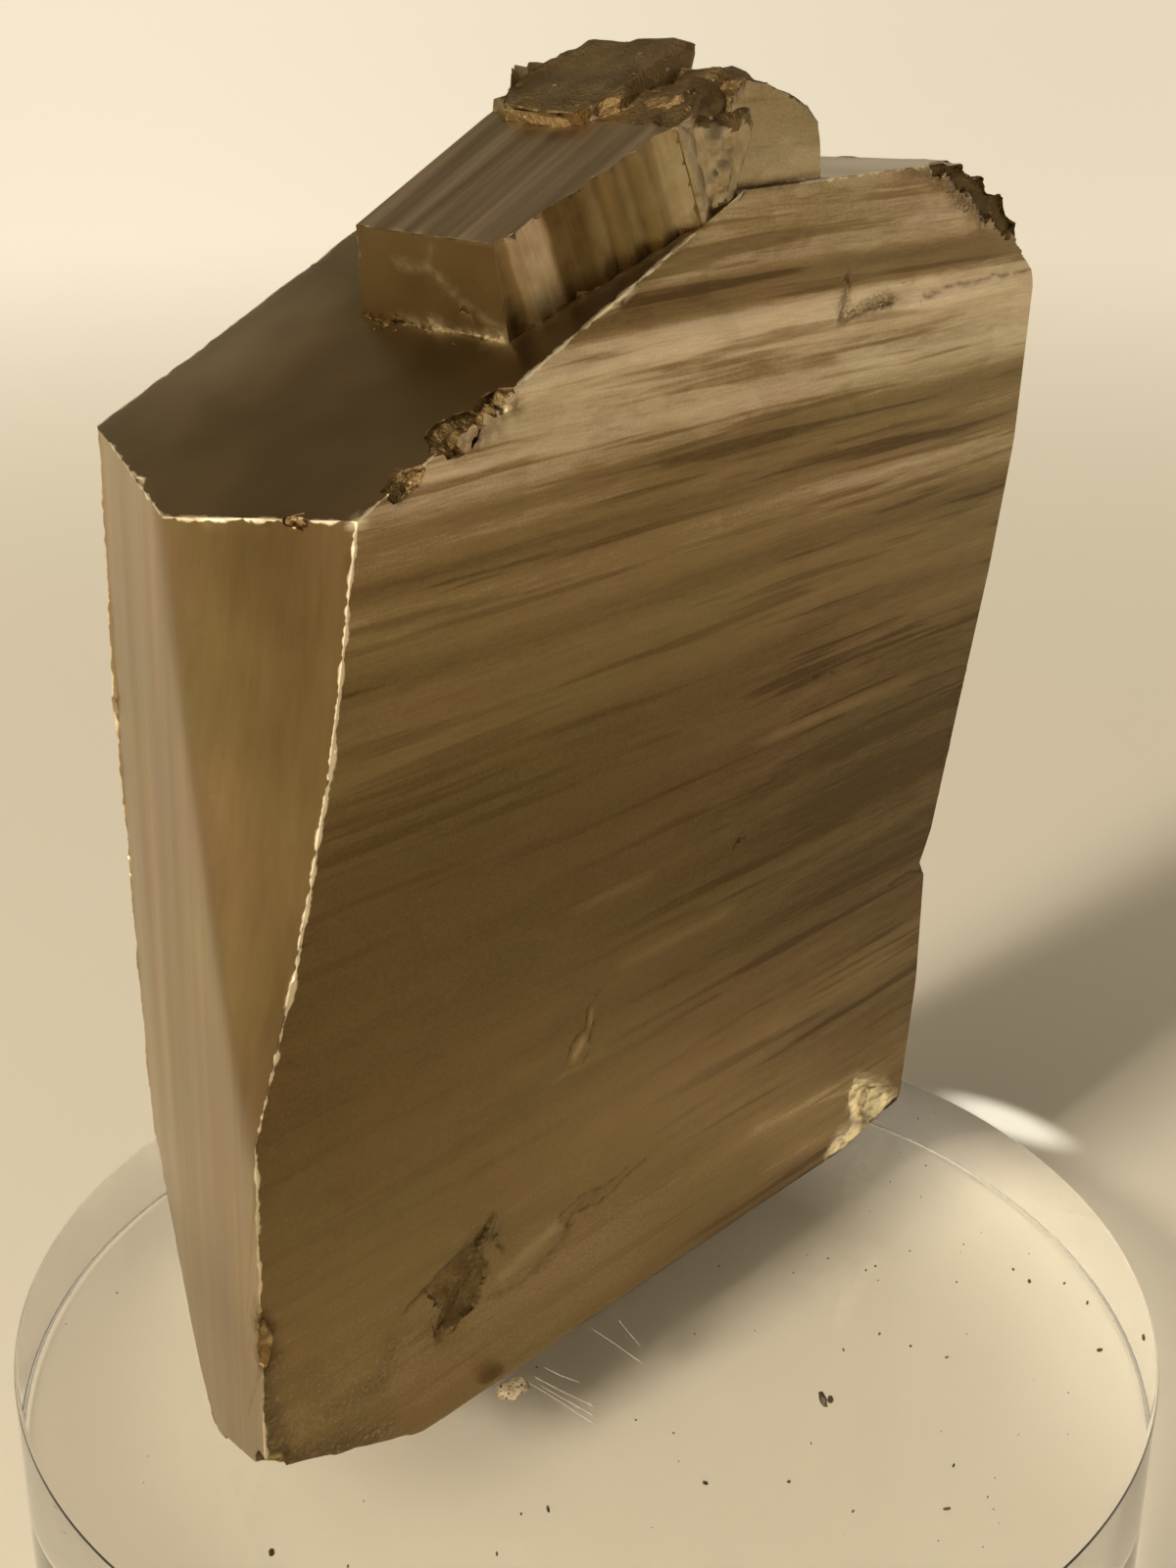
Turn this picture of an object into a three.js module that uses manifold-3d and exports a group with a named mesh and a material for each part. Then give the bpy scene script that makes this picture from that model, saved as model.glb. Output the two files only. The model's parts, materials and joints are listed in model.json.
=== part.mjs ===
// A pyrite specimen: one flat striated crystal with a smaller crystal grown on its slanted top,
// standing on a clear acrylic disc. X runs along the large front face, Y runs back through the
// stone and Z is up. The origin is the middle of the disc's underside, and sizes are millimetres.
import * as THREE from "three";
import { mergeVertices } from "three/addons/utils/BufferGeometryUtils.js";
import Module from "manifold-3d";

const wasm = await Module();
wasm.setup();

// Acrylic disc: a stock three inch by half inch display base.
const BASE_DIAMETER = 76.2;
const BASE_THICKNESS = 12.7;
const BASE_EDGE = 0.4;
const BASE_SIDES = 96;

// Main crystal, with heights measured up from the top of the disc.
const FRONT_Y = -2.8;
const STONE_DEPTH = 24.4;
const STONE_TOP = 72.2;
const TOP_FALL = 0.04;
const BLANK_LEFT = -33;
const BLANK_TOP = 76;
const SLOPE_DEGREES = 24;
const SLOPE_FOOT = new THREE.Vector3(-20.95, FRONT_Y, 58.4);
const GRID_ALONG = 16;
const GRID_BACK = 5;
const GRID_UP = 64;

// Relief of the large faces: growth ledges that run level along X and waver a little.
const LEDGE_PITCH = 6.4;
const LEDGE_DEPTH = 0.22;
const STRIA_PITCH = 2.7;
const STRIA_DEPTH = 0.08;

// Broken right end of the front face, as height and distance along X.
const RIGHT_EDGE = [
  [0, 33.0],
  [1.4, 33.4],
  [11.3, 34.6],
  [20.3, 34.6],
  [21.4, 33.9],
  [23.5, 35.1],
  [35.1, 38.3],
  [42.9, 40.5],
  [52.0, 42.5],
  [63.8, 43.4],
  [65.6, 41.2],
  [67.5, 40.5],
  [69.6, 38.5],
  [71.0, 35.8],
  [72.2, 32.4],
  [76.0, 27.0],
];
const RIGHT_ROUGHNESS = 0.5;
const RIGHT_LEAN = 0.12;

// Flat faces of the main crystal, each through three points: X, distance back from the front, height.
const LEFT_END = [[-30.2, 0, 14], [-20.1, 24, 30], [-24.3, 11.4, 57]];
const LEFT_END_BACK = [[-23.2, 17, 30], [-19.6, 24, 30], [-23.4, 17, 50]];
const HOLLOW_UPPER = [[-20.95, 0, 58.4], [-22.9, 0, 46.9], [-23.9, 11.4, 57]];
const HOLLOW_MIDDLE = [[-22.9, 0, 46.9], [-26.4, 0, 34.5], [-26.3, 8.6, 43.3]];
const HOLLOW_LOWER = [[-26.4, 0, 34.5], [-30.1, 0, 25], [-27, 7.2, 30.8]];
const FOOT_FRONT = [[-30.2, 0, 4.6], [-18, 0, 0], [-26, 9.5, 0]];
const FOOT_BACK = [[-25, 12, 0.4], [-19.6, 23, 12.1], [-8, 24, 0]];
const FOOT_RIGHT = [[25.9, 0, 0], [33.4, 0, 1.4], [33.4, 9, 0]];
const STONE_MIDDLE = [5, 12, 35];

// Small crystal: a prism square to the slanted top, measured from its front foot corner.
const SMALL_FOOT_X = -6.2;
const SMALL_FOOT_BACK = 3.5;
const SMALL_WIDTH = 12.1;
const SMALL_TOP_WIDTH = 11.0;
const SMALL_LENGTH = 17;
const SMALL_HEIGHT = 5.4;
const SMALL_SUNK = 3;
const SMALL_SPARE = 4;
const SMALL_TURN = -3.2 / 13.4;
const SMALL_END_LEAN = 12;
const SMALL_TOP_TILT = 3;
const BAND_STEPS = [0, 1.1, 2.3, 5.0, 6.9, 8.1, 9.0, 10.2, 11.0, 12.4, 13.6];
const BAND_RELIEF = 0.3;
const BAND_END_SIDE = -2.5;

// Rough lumps that make the broken cap of the small crystal: centre as X, back and height, then
// half sizes along the same directions.
const CAP_LUMPS = [
  { at: [8.4, 9.6, 75.5], half: [5.5, 5.0, 4.3], turn: -12 },
  { at: [6.2, 10.2, 75.1], half: [3.2, 4.6, 2.8], turn: -24 },
  { at: [11.8, 4.4, 75.2], half: [3.4, 3.0, 3.3], turn: 10 },
  { at: [15.2, 8.6, 73.4], half: [3.8, 4.2, 3.9], turn: 15 },
  { at: [7.9, 3.0, 75.4], half: [2.4, 2.2, 2.7], turn: -16 },
];

// Block beside the cap, flush with the front face: its outline as X and height.
const BLOCK_OUTLINE = [
  [8.0, 70.3],
  [18.2, 71.6],
  [17.8, 75.5],
  [16.7, 76.4],
  [14.8, 77.2],
  [12.6, 77.9],
  [10.6, 78.2],
  [9.4, 77.3],
  [8.2, 75.4],
];
const BLOCK_SET_BACK = 0.6;
const BLOCK_DEPTH = 8;

// Pits and chips taken out of the stone: centre as X, back and height, half sizes, and a turn about
// Y in degrees.
const PITS = [
  { at: [-3.1, 0.2, 23.2], half: [0.45, 0.8, 1.5], turn: 20 },
  { at: [-3.9, 0.2, 20.9], half: [0.85, 0.8, 1.2], turn: 20 },
  { at: [-14.8, 0.3, 9.6], half: [1.1, 1.1, 3.4], turn: 40 },
  { at: [-15.4, 0.3, 7.4], half: [0.9, 0.9, 1.5], turn: 10 },
  { at: [-11.4, 0.2, 10.4], half: [0.6, 0.8, 1.2], turn: 30 },
  { at: [-3.7, 0.2, 9.4], half: [0.5, 0.8, 1.9], turn: 55 },
  { at: [20.5, 0.2, 64.8], half: [0.4, 0.8, 1.5], turn: 0 },
  { at: [22.9, 0.2, 63.7], half: [2.6, 0.8, 0.35], turn: -4 },
  { at: [19.9, 0.2, 40.0], half: [1.0, 0.7, 0.35], turn: -8 },
  { at: [11.7, 0.2, 29.9], half: [0.8, 0.7, 0.4], turn: -35 },
  { at: [30.4, -1.4, 2.0], half: [4.0, 1.9, 2.6], turn: 15 },
];
const EDGE_CHIPS = [
  { at: [-13.4, 0.4, 61.6], half: [2.0, 1.5, 1.2], turn: -24 },
  { at: [-10.6, 0.3, 62.9], half: [1.3, 1.0, 1.0], turn: -10 },
  { at: [-17.4, 0.1, 59.7], half: [1.4, 0.8, 0.7], turn: -24 },
  { at: [-22.6, 17.6, 57.6], half: [1.1, 1.6, 0.8], turn: 0 },
  { at: [-22.2, 3.4, 57.9], half: [0.6, 1.1, 0.5], turn: 0 },
  { at: [-30.1, 0.3, 13.4], half: [0.7, 0.7, 1.6], turn: 0 },
  { at: [-29.8, 0.6, 4.4], half: [1.3, 1.1, 1.3], turn: 30 },
  { at: [-24.4, 0.0, 1.2], half: [2.6, 0.9, 0.9], turn: 22 },
  { at: [31.6, 0.2, 72.9], half: [2.0, 1.7, 0.9], turn: 10 },
  { at: [34.6, 0.6, 72.0], half: [1.9, 2.2, 1.3], turn: 25 },
  { at: [37.4, 0.6, 70.9], half: [1.9, 2.4, 1.3], turn: 38 },
  { at: [39.8, 0.4, 69.0], half: [1.7, 2.0, 1.2], turn: 50 },
  { at: [41.3, 0.2, 66.9], half: [1.3, 1.6, 1.0], turn: 62 },
  { at: [37.4, 5.0, 72.0], half: [2.4, 3.2, 1.8], turn: 35 },
  { at: [41.2, 4.4, 67.8], half: [1.4, 2.6, 1.6], turn: 50 },
  { at: [33.4, 6.5, 72.6], half: [2.4, 3.6, 0.9], turn: 10 },
  { at: [34.9, 0.4, 21.2], half: [0.9, 1.2, 0.6], turn: 0 },
];
const SMALL_FOOT_CHIPS = 5;

// Crumbs left standing in the broken stretch of the edge between the front and the slanted top.
const CRUMB_COUNT = 7;
const CRUMB_FROM = -15.5;
const CRUMB_TO = -9.5;
const CRUMB_SIZE = 0.55;
const CRUMB_DEPTH = 0.6;

// Dab of mounting tack squeezed out at the foot of the front face.
const TACK = { at: [-11.4, -1.2, 0], half: [1.35, 0.95, 0.7] };
const TACK_GAP = 0.3;

const PYRITE_COLOUR = 0x8a7650;
const ACRYLIC_COLOUR = 0xf2efe6;
const TACK_COLOUR = 0xd9c7a4;

const DEGREE = Math.PI / 180;
const UP = new THREE.Vector3(0, 0, 1);

// The same run of numbers on every build.
function makeRandom(seed) {
  let state = seed;
  return () => {
    state = (state * 1664525 + 1013904223) % 4294967296;
    return state / 4294967296;
  };
}

function solidFrom(geometry) {
  const bare = geometry.index ? geometry.toNonIndexed() : geometry.clone();
  bare.deleteAttribute("normal");
  bare.deleteAttribute("uv");
  const merged = mergeVertices(bare, 1e-4);
  return new wasm.Manifold(
    new wasm.Mesh({
      numProp: 3,
      vertProperties: new Float32Array(merged.attributes.position.array),
      triVerts: new Uint32Array(merged.index.array),
    }),
  );
}

function meshFrom(name, solid, material) {
  const result = solid.getMesh();
  const geometry = new THREE.BufferGeometry();
  geometry.setAttribute("position", new THREE.BufferAttribute(result.vertProperties, 3));
  geometry.setIndex(new THREE.BufferAttribute(result.triVerts, 1));
  geometry.computeVertexNormals();
  const mesh = new THREE.Mesh(geometry, material);
  mesh.name = name;
  return mesh;
}

// Moves every corner of a geometry by a rule.
function reshape(geometry, rule) {
  const position = geometry.attributes.position;
  const point = new THREE.Vector3();
  for (let i = 0; i < position.count; i += 1) {
    point.fromBufferAttribute(position, i);
    rule(point);
    position.setXYZ(i, point.x, point.y, point.z);
  }
  return geometry;
}

// Everything on the outer side of a plane, as one large block.
function beyond(point, normal) {
  const size = 200;
  const block = new THREE.BoxGeometry(size, size, size);
  block.translate(0, 0, size / 2);
  block.applyQuaternion(new THREE.Quaternion().setFromUnitVectors(UP, normal.clone().normalize()));
  block.translate(point.x, point.y, point.z);
  return solidFrom(block);
}

function inStone([x, back, z]) {
  return new THREE.Vector3(x, FRONT_Y + back, z);
}

// Everything outside a face of the stone that is given by three of its points.
function beyondFace(points) {
  const [p, q, r] = points.map(inStone);
  const normal = q.clone().sub(p).cross(r.clone().sub(p));
  if (normal.dot(inStone(STONE_MIDDLE).sub(p)) > 0) {
    normal.negate();
  }
  return beyond(p, normal);
}

// Height of the slanted top at a distance along X.
function slopeHeight(x) {
  return SLOPE_FOOT.z + (x - SLOPE_FOOT.x) * Math.tan(SLOPE_DEGREES * DEGREE);
}

// A smooth wandering value between about -1 and 1 for a place on a face.
function wander(a, b, phase) {
  const slow = Math.sin(a * 0.09 + phase) * Math.cos(b * 0.12 - phase * 1.7);
  const quick = Math.sin(a * 0.21 + b * 0.17 + phase * 2.3);
  return 0.75 * slow + 0.25 * quick;
}

// A ramp that climbs slowly and drops quickly once in each turn, as a growth ledge does.
function ledge(turns) {
  const part = turns - Math.floor(turns);
  return part < 0.75 ? part / 0.75 : (1 - part) / 0.25;
}

// Depth of the ledges below the plane of a large face.
function faceRelief(x, z, phase) {
  const ledgeTurns = z / LEDGE_PITCH + 0.22 * wander(x, z, phase);
  const striaTurns = z / STRIA_PITCH + 0.35 * wander(x, z, phase + 2.1);
  return LEDGE_DEPTH * ledge(ledgeTurns) + STRIA_DEPTH * ledge(striaTurns);
}

function rightEdgeAt(z) {
  const above = RIGHT_EDGE.findIndex(([height]) => height >= z);
  const upper = above < 0 ? RIGHT_EDGE.length - 1 : Math.max(above, 1);
  const [z0, x0] = RIGHT_EDGE[upper - 1];
  const [z1, x1] = RIGHT_EDGE[upper];
  return x0 + ((x1 - x0) * (z - z0)) / (z1 - z0);
}

// The block that the main crystal is cut from: ledges on both large faces, a broken right end.
function mainBlank() {
  const box = new THREE.BoxGeometry(1, 1, 1, GRID_ALONG, GRID_BACK, GRID_UP);
  reshape(box, (p) => {
    const along = p.x + 0.5;
    const back = p.y + 0.5;
    const z = (p.z + 0.5) * BLANK_TOP;
    const depth = back * STONE_DEPTH;
    const rough = RIGHT_ROUGHNESS * wander(depth * 3.1, z * 2.3, 0.4) * Math.min(1, back * 3);
    const right = rightEdgeAt(z) - RIGHT_LEAN * depth + rough;
    const x = BLANK_LEFT + along * (right - BLANK_LEFT);
    const front = back < 0.01 ? faceRelief(x, z, 0.6) : 0;
    const rear = back > 0.99 ? faceRelief(x, z, 3.9) : 0;
    p.set(x, FRONT_Y + depth + front - rear, z);
  });
  return solidFrom(box);
}

// The hollow face between the front and the left end: it flares out towards its foot.
function hollowCorner() {
  return beyondFace(HOLLOW_UPPER).intersect(beyondFace(HOLLOW_MIDDLE)).intersect(beyondFace(HOLLOW_LOWER));
}

// All that is cut from the blank to leave the main crystal.
function mainCuts() {
  const slope = SLOPE_DEGREES * DEGREE;
  const faces = [LEFT_END, LEFT_END_BACK, FOOT_FRONT, FOOT_BACK, FOOT_RIGHT];
  return [
    beyond(new THREE.Vector3(0, FRONT_Y, STONE_TOP), new THREE.Vector3(0, TOP_FALL, 1)),
    beyond(SLOPE_FOOT, new THREE.Vector3(-Math.sin(slope), 0, Math.cos(slope))),
    hollowCorner(),
    ...faces.map(beyondFace),
  ];
}

// The frame on the slanted top: along it up the slope, back along Y, and out of it.
function slopeMatrix() {
  const foot = inStone([SMALL_FOOT_X, SMALL_FOOT_BACK, slopeHeight(SMALL_FOOT_X)]);
  return new THREE.Matrix4().makeRotationY(-SLOPE_DEGREES * DEGREE).setPosition(foot);
}

// Outline of the small crystal on the slope: bands stand out and back in turn along its front.
function smallOutline() {
  const outline = new THREE.Shape();
  outline.moveTo(0, SMALL_WIDTH);
  BAND_STEPS.forEach((along, i) => {
    const side = i % 2 === 0 ? 0 : BAND_RELIEF;
    outline.lineTo(along, along * SMALL_TURN + side);
  });
  outline.lineTo(SMALL_LENGTH, BAND_END_SIDE);
  outline.lineTo(SMALL_LENGTH, SMALL_WIDTH);
  return outline;
}

function smallCrystal() {
  const prism = new THREE.ExtrudeGeometry(smallOutline(), {
    depth: SMALL_SUNK + SMALL_HEIGHT + SMALL_SPARE,
    bevelEnabled: false,
  });
  prism.translate(0, 0, -SMALL_SUNK);
  const tilt = SMALL_TOP_TILT * DEGREE;
  const lean = (SLOPE_DEGREES - SMALL_END_LEAN) * DEGREE;
  const top = beyond(
    new THREE.Vector3(0, 0, SMALL_HEIGHT),
    new THREE.Vector3(-Math.sin(tilt), 0, Math.cos(tilt)),
  );
  const end = beyond(new THREE.Vector3(0, 0, 0), new THREE.Vector3(-Math.cos(lean), 0, Math.sin(lean)));
  const backLean = new THREE.Vector3(0, SMALL_HEIGHT, SMALL_WIDTH - SMALL_TOP_WIDTH);
  const rear = beyond(new THREE.Vector3(0, SMALL_WIDTH, 0), backLean);
  const cut = solidFrom(prism).subtract(top).subtract(end).subtract(rear);
  const placed = cut.transform(slopeMatrix().elements);
  const inFront = beyond(new THREE.Vector3(0, FRONT_Y + BLOCK_SET_BACK / 2, 0), new THREE.Vector3(0, -1, 0));
  return placed.subtract(inFront);
}

// A rough lump: a ball of flat facets pulled about at random, with a turn about Y. Where it is
// blocky, the ball is first pressed out towards the corners of a box.
function lump(random, { at, half, turn = 0 }, unevenness, blocky = false) {
  const ball = new THREE.IcosahedronGeometry(1, blocky ? 2 : 1);
  ball.deleteAttribute("normal").deleteAttribute("uv");
  const rough = mergeVertices(ball, 1e-4);
  const power = blocky ? 0.55 : 1;
  const press = (part) => Math.sign(part) * Math.abs(part) ** power;
  reshape(rough, (p) => {
    const pull = 1 + unevenness * (random() - 0.5);
    p.set(press(p.x) * half[0], press(p.y) * half[1], press(p.z) * half[2]).multiplyScalar(pull);
  });
  rough.rotateY(turn * DEGREE);
  rough.translate(at[0], FRONT_Y + at[1], at[2]);
  return solidFrom(rough);
}

function capAndBlock(random) {
  const outline = new THREE.Shape(BLOCK_OUTLINE.map(([x, z]) => new THREE.Vector2(x, z)));
  const block = new THREE.ExtrudeGeometry(outline, { depth: BLOCK_DEPTH, bevelEnabled: false });
  block.rotateX(90 * DEGREE);
  block.translate(0, FRONT_Y + BLOCK_SET_BACK + BLOCK_DEPTH, 0);
  const lumps = CAP_LUMPS.map((place) => lump(random, place, 0.2, true));
  return lumps.reduce((all, next) => all.add(next), solidFrom(block));
}

// Small breaks along the foot of the small crystal's end face.
function footChips(random) {
  const chips = [];
  for (let i = 0; i < SMALL_FOOT_CHIPS; i += 1) {
    const back = SMALL_FOOT_BACK + (SMALL_WIDTH * (i + random())) / SMALL_FOOT_CHIPS;
    const size = 0.35 + 0.75 * random();
    const at = [SMALL_FOOT_X - 0.3, back, slopeHeight(SMALL_FOOT_X) + 0.4 * random()];
    chips.push(lump(random, { at, half: [size, 1.3 * size, 0.8 * size], turn: 40 }, 0.5));
  }
  return chips;
}

function edgeCrumbs(random) {
  const crumbs = [];
  for (let i = 0; i < CRUMB_COUNT; i += 1) {
    const x = CRUMB_FROM + ((CRUMB_TO - CRUMB_FROM) * (i + random())) / CRUMB_COUNT;
    const size = CRUMB_SIZE * (0.7 + 0.6 * random());
    const at = [x, CRUMB_DEPTH * (0.6 + 0.8 * random()), slopeHeight(x) - CRUMB_DEPTH * (0.8 + random())];
    crumbs.push(lump(random, { at, half: [size, size, size], turn: 90 * random() }, 0.4));
  }
  return crumbs;
}

function pyriteCrystal() {
  const random = makeRandom(20);
  const main = mainCuts().reduce((stone, cut) => stone.subtract(cut), mainBlank());
  const grown = main.add(smallCrystal()).add(capAndBlock(random));
  const chips = [
    ...PITS.map((pit) => lump(random, pit, 0.4)),
    ...EDGE_CHIPS.map((chip) => lump(random, chip, 0.45)),
    ...footChips(random),
  ];
  const chipped = chips.reduce((stone, chip) => stone.subtract(chip), grown);
  const whole = edgeCrumbs(random).reduce((stone, crumb) => stone.add(crumb), chipped);
  return whole.translate([0, 0, BASE_THICKNESS]);
}

function acrylicBase() {
  const radius = BASE_DIAMETER / 2;
  const profile = [
    [0, 0],
    [radius - BASE_EDGE, 0],
    [radius, BASE_EDGE],
    [radius, BASE_THICKNESS - BASE_EDGE],
    [radius - BASE_EDGE, BASE_THICKNESS],
    [0, BASE_THICKNESS],
  ];
  const disc = new THREE.LatheGeometry(
    profile.map(([r, z]) => new THREE.Vector2(r, z)),
    BASE_SIDES,
  );
  disc.rotateX(90 * DEGREE);
  return solidFrom(disc);
}

function mountingTack() {
  const dab = lump(makeRandom(7), TACK, 0.4);
  const below = beyond(new THREE.Vector3(0, 0, 0), UP.clone().negate());
  const behind = beyond(new THREE.Vector3(0, FRONT_Y - TACK_GAP, 0), new THREE.Vector3(0, 1, 0));
  return dab.subtract(below).subtract(behind).translate([0, 0, BASE_THICKNESS]);
}

const pyrite = new THREE.MeshStandardMaterial({
  color: PYRITE_COLOUR,
  roughness: 0.35,
  metalness: 0.95,
});
const acrylic = new THREE.MeshStandardMaterial({
  color: ACRYLIC_COLOUR,
  roughness: 0.03,
  metalness: 0,
  transparent: true,
  opacity: 0.3,
});
const tack = new THREE.MeshStandardMaterial({
  color: TACK_COLOUR,
  roughness: 0.8,
  metalness: 0,
});

const group = new THREE.Group();
group.add(meshFrom("pyrite_crystal", pyriteCrystal(), pyrite));
group.add(meshFrom("acrylic_base", acrylicBase(), acrylic));
group.add(meshFrom("mounting_tack", mountingTack(), tack));

export default group;
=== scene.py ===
"""Looks of a pyrite specimen: a striated crystal with a smaller one on its slanted top, on a clear disc."""

import json
import math
from bisect import bisect_left

import bmesh
import bpy
import numpy as np
from bpy.props import FloatProperty, FloatVectorProperty, IntProperty, PointerProperty
from mathutils import Matrix, Vector, kdtree

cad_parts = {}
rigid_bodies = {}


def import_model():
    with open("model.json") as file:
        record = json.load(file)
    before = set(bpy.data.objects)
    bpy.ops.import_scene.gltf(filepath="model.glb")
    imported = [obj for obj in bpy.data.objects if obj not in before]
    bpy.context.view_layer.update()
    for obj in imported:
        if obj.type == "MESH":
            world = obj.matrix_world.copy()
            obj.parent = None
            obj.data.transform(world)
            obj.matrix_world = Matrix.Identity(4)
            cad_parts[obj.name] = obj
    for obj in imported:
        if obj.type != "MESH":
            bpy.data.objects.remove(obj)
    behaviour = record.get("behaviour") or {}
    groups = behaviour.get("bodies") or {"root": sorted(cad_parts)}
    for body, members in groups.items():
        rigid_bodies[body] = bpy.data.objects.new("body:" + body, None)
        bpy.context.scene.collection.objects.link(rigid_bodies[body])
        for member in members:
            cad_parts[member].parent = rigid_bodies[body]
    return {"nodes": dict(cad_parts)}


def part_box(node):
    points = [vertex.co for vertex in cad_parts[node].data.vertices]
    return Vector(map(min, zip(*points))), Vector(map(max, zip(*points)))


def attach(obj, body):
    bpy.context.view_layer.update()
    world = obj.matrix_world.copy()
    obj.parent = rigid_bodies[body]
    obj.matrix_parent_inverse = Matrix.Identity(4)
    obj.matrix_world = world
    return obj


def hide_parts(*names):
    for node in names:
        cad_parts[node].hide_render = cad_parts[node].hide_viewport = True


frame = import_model()

bl_info = {
    "name": "Pyrite specimen",
    "version": (1, 0, 0),
    "blender": (4, 5, 0),
    "location": "View3D > Sidebar > Pyrite",
    "description": "Builds the looks of a striated pyrite crystal on a clear display disc",
    "category": "Object",
}

MM = 0.001
SLOPE = math.radians(24)
STONE_LOW, STONE_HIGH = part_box("pyrite_crystal")
DISC_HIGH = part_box("acrylic_base")[1]
TACK_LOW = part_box("mounting_tack")[0]

# Planes of the two large faces, and how near to one a point of the CAD counts as lying on it.
FRONT_Y = -2.8 * MM
BACK_Y = 21.6 * MM
FLAT_WITHIN = 0.34 * MM

# Small crystal's own frame: its front foot corner, then up the slope, back, and out of the slope.
SMALL_FOOT = Vector((-6.2, 0.7, 77.67)) * MM
SLOPE_ALONG = Vector((math.cos(SLOPE), 0, math.sin(SLOPE)))
SLOPE_OUT = Vector((-math.sin(SLOPE), 0, math.cos(SLOPE)))
SMALL_END_LEAN = 0.211
SMALL_REAR_LEAN = 0.204
SMALL_DEPTH = 12.8

# Height that the broken cap is cut off at, where X is nothing, and how much that rises along X.
CAP_HIGH = 88.14
CAP_RISE = 0.42

# Faces of the stone's left end, each through three points: X, distance back from the
# front, and height above the disc.
LEFT_FACES = [
    [(-30.2, 0, 14), (-20.1, 24, 30), (-24.3, 11.4, 57)],
    [(-23.2, 17, 30), (-19.6, 24, 30), (-23.4, 17, 50)],
]
HOLLOW_FACES = [
    [(-20.95, 0, 58.4), (-22.9, 0, 46.9), (-23.9, 11.4, 57)],
    [(-22.9, 0, 46.9), (-26.4, 0, 34.5), (-26.3, 8.6, 43.3)],
    [(-26.4, 0, 34.5), (-30.1, 0, 25), (-27, 7.2, 30.8)],
]

# Faces of the stone, each with its own finish.
FINISHES = ("front", "end", "slope", "small_top", "small_side", "small_end", "broken")


def mm(*values):
    """Millimetres as a vector in metres."""
    return Vector(values) * MM


class Wiring:
    """Adds nodes to a tree and joins them."""

    def __init__(self, tree):
        self.tree = tree

    def add(self, kind, sockets=None, **settings):
        node = self.tree.nodes.new(kind)
        for key, value in settings.items():
            setattr(node, key, value)
        for key, value in (sockets or {}).items():
            self.feed(node.inputs[key], value)
        return node

    def feed(self, socket, value):
        if isinstance(value, bpy.types.NodeSocket):
            self.tree.links.new(value, socket)
        elif hasattr(socket.default_value, "__len__") and not isinstance(value, str):
            filled = list(value) + [1.0] * (len(socket.default_value) - len(value))
            socket.default_value = filled
        else:
            socket.default_value = value

    def math(self, operation, a, b):
        return self.add("ShaderNodeMath", {0: a, 1: b}, operation=operation).outputs[0]

    def plus(self, a, b):
        return self.math("ADD", a, b)

    def times(self, a, b):
        return self.math("MULTIPLY", a, b)

    def vector(self, operation, a, b):
        return self.add("ShaderNodeVectorMath", {0: a, 1: b}, operation=operation).outputs[0]

    def scale(self, vector, by):
        return self.add("ShaderNodeVectorMath", {0: vector, "Scale": by}, operation="SCALE").outputs[0]

    def length(self, vector):
        return self.add("ShaderNodeVectorMath", {0: vector}, operation="LENGTH").outputs["Value"]

    def dot(self, a, b):
        return self.add("ShaderNodeVectorMath", {0: a, 1: b}, operation="DOT_PRODUCT").outputs["Value"]

    def span(self, value, low, high, to_low=0.0, to_high=1.0, straight=False):
        sockets = {"Value": value, "From Min": low, "From Max": high, "To Min": to_low, "To Max": to_high}
        kind = "LINEAR" if straight else "SMOOTHSTEP"
        return self.add("ShaderNodeMapRange", sockets, interpolation_type=kind).outputs[0]

    def blend(self, part, a, b):
        return self.add("ShaderNodeMix", {0: part, 2: a, 3: b}, data_type="FLOAT").outputs[0]

    def tint(self, part, a, b):
        return self.add("ShaderNodeMix", {0: part, 6: a, 7: b}, data_type="RGBA").outputs[2]

    def split(self, vector):
        return self.add("ShaderNodeSeparateXYZ", {0: vector}).outputs

    def join(self, x=0.0, y=0.0, z=0.0):
        return self.add("ShaderNodeCombineXYZ", {0: x, 1: y, 2: z}).outputs[0]

    def noise(self, place, lengths, detail=2.0, roughness=0.5, distortion=0.0):
        """Noise whose features are that long, in millimetres, along each direction of place."""
        scaled = self.vector("MULTIPLY", place, [1 / (length * MM) for length in lengths])
        sockets = {"Vector": scaled, "Scale": 1.0, "Detail": detail, "Roughness": roughness}
        sockets["Distortion"] = distortion
        return self.add("ShaderNodeTexNoise", sockets, noise_dimensions="3D").outputs[0]

    def swing(self, tone, part, most):
        """A tone with a noise added that swings about its middle."""
        return self.plus(tone, self.times(self.math("SUBTRACT", part, 0.5), most))

    def ramp(self, value, stops):
        node = self.add("ShaderNodeValToRGB", {0: value})
        elements = node.color_ramp.elements
        while len(elements) < len(stops):
            elements.new(0.5)
        for element, (place, colour) in zip(elements, stops):
            element.position = place
            element.color = (*colour, 1.0)
        return node.outputs[0]


def new_material(name):
    material = bpy.data.materials.new(name)
    material.use_nodes = True
    material.node_tree.nodes.clear()
    wiring = Wiring(material.node_tree)
    shader = wiring.add("ShaderNodeBsdfPrincipled")
    output = wiring.add("ShaderNodeOutputMaterial")
    material.node_tree.links.new(shader.outputs[0], output.inputs[0])
    return material, wiring, shader


def object_place(wiring):
    return wiring.add("ShaderNodeTexCoord").outputs["Object"]


def attribute(wiring, name):
    return wiring.add("ShaderNodeAttribute", attribute_name=name).outputs["Fac"]


def slope_place(wiring, place):
    """Place turned into the small crystal's frame: along the slope, back, and out of it."""
    sockets = {"Vector": place, "Location": SMALL_FOOT, "Rotation": (0, -SLOPE, 0)}
    return wiring.add("ShaderNodeMapping", sockets, vector_type="TEXTURE").outputs[0]


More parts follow.
